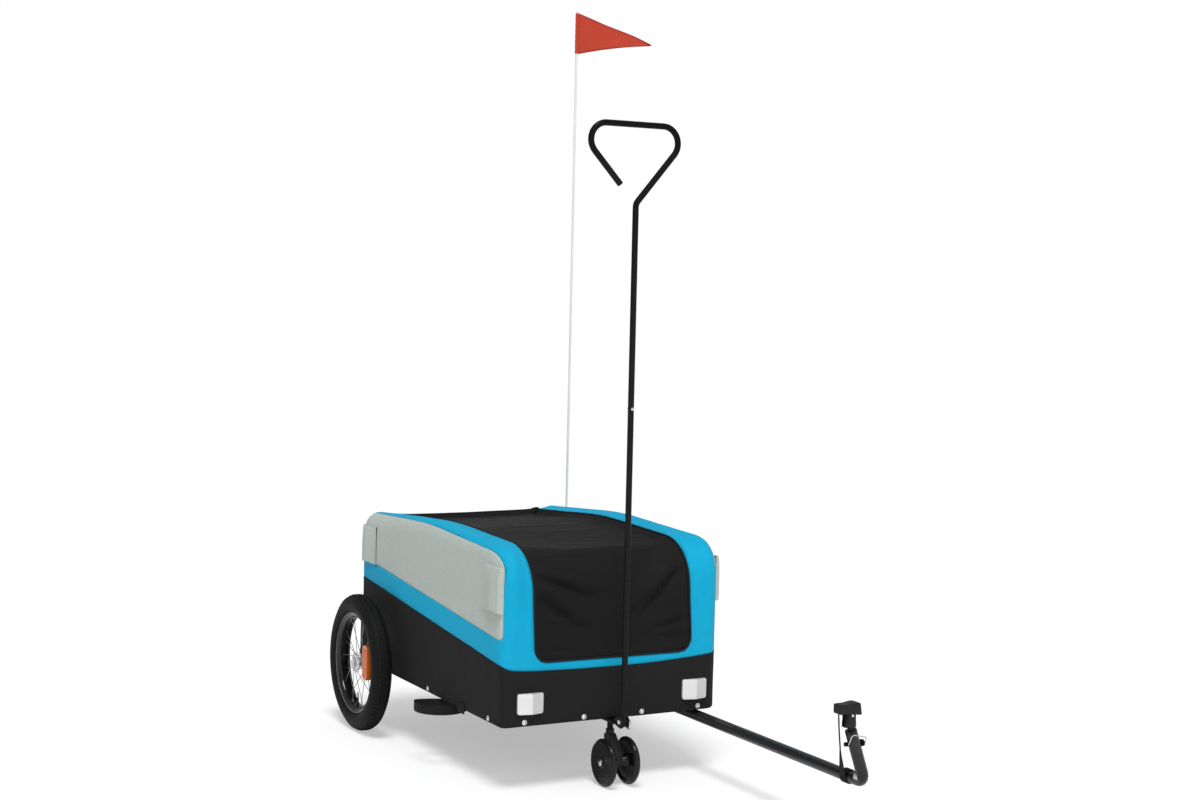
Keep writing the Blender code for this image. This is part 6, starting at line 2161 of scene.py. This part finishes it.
def make_lights(scene):
    for name, energy, angle, direction in SUNS:
        light = bpy.data.lights.new(name, "SUN")
        light.energy = energy
        light.angle = math.radians(angle)
        lamp = bpy.data.objects.new(name, light)
        lamp.rotation_mode = "QUATERNION"
        lamp.rotation_quaternion = Vector(direction).to_track_quat("-Z", "Y")
        scene.collection.objects.link(lamp)

    world = bpy.data.worlds.new("studio")
    world.use_nodes = True
    tree = world.node_tree
    tree.nodes.clear()
    seen = seen_directly(tree)
    lit = node(tree, "ShaderNodeBackground", {"Color": (1, 1, 1, 1), "Strength": 0.42})
    shown = node(tree, "ShaderNodeBackground", {"Color": (1, 1, 1, 1), "Strength": 1.0})
    both = node(tree, "ShaderNodeMixShader", {0: seen, 1: lit.outputs[0], 2: shown.outputs[0]})
    node(tree, "ShaderNodeOutputWorld", {0: both.outputs[0]})
    scene.world = world


def make_floor(scene):
    """A pale floor that fades to white away from the part."""
    bm = bmesh.new()
    bmesh.ops.create_circle(bm, cap_ends=True, radius=40, segments=96)
    centre = Vector((0, BODY_LENGTH / 2, -0.0005)) + SHIFT
    bmesh.ops.translate(bm, vec=centre, verts=bm.verts)
    mesh = bpy.data.meshes.new("studio floor")
    bm.to_mesh(mesh)
    bm.free()
    look, tree, shader = new_look("studio_floor", specular_ior_level=0.2)
    shader.inputs["Base Color"].default_value = (0.98, 0.98, 0.98, 1)
    shader.inputs["Roughness"].default_value = 0.9
    place = node(tree, "ShaderNodeTexCoord").outputs["Object"]
    distance = node(
        tree, "ShaderNodeVectorMath", {0: place, 1: (0, 0, centre.z)}, operation="DISTANCE"
    ).outputs["Value"]
    far = node(
        tree,
        "ShaderNodeMapRange",
        {"Value": distance, "From Min": 0.8, "From Max": 2.4, "To Min": 0.42},
        interpolation_type="SMOOTHSTEP",
    ).outputs[0]
    seen = seen_directly(tree)
    white = node(tree, "ShaderNodeEmission", {"Color": (1, 1, 1, 1), "Strength": 1.0})
    share = maths(tree, "MULTIPLY", far, seen)
    both = node(tree, "ShaderNodeMixShader", {0: share, 1: shader.outputs[0], 2: white.outputs[0]})
    tree.links.new(both.outputs[0], tree.nodes["Material Output"].inputs["Surface"])
    mesh.materials.append(look)
    floor = bpy.data.objects.new("studio_floor", mesh)
    scene.collection.objects.link(floor)


def make_stage():
    scene = bpy.context.scene
    make_camera(scene)
    make_lights(scene)
    make_floor(scene)
    scene.view_settings.view_transform = "Standard"


NODE_LOOKS = {
    "axle_cross_member": "frame paint",
    "caster_axle": "zinc",
    "caster_yoke": "plastic",
    "floor_panel": "board",
    "front_bracket": "black paint",
    "front_rail": "frame paint",
    "front_top_bar": "frame paint",
    "handle_joint_bolt": "zinc",
    "handle_pin_ring": "zinc",
    "handle_pivot_pin": "zinc",
    "hitch_ball": "plastic",
    "middle_cross_member": "frame paint",
    "rear_rail": "frame paint",
    "rear_top_bar": "frame paint",
}
for side in ("left", "right"):
    NODE_LOOKS |= {
        f"{side}_axle_bracket": "frame paint",
        f"{side}_hoop": "frame paint",
        f"{side}_side_rail": "frame paint",
    }


def dress_nodes():
    """Gives the CAD parts that stay in view their finishes."""
    for name, look in NODE_LOOKS.items():
        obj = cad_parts[name]
        for slot in obj.material_slots:
            slot.material = LOOKS[look]


make_stage()
skin, skin_groups = make_cloth_body()
make_cover(skin, skin_groups)
skin.free()
make_fabric_trim()
for wheel_side, wheel_sign in (("right", -1), ("left", 1)):
    make_wheel(wheel_side, wheel_sign)
make_casters()
make_tubes()
dress_hitch()
make_hitch_pin()
make_clamps()
make_reflectors()
make_pole()
make_pull_tab()
dress_nodes()
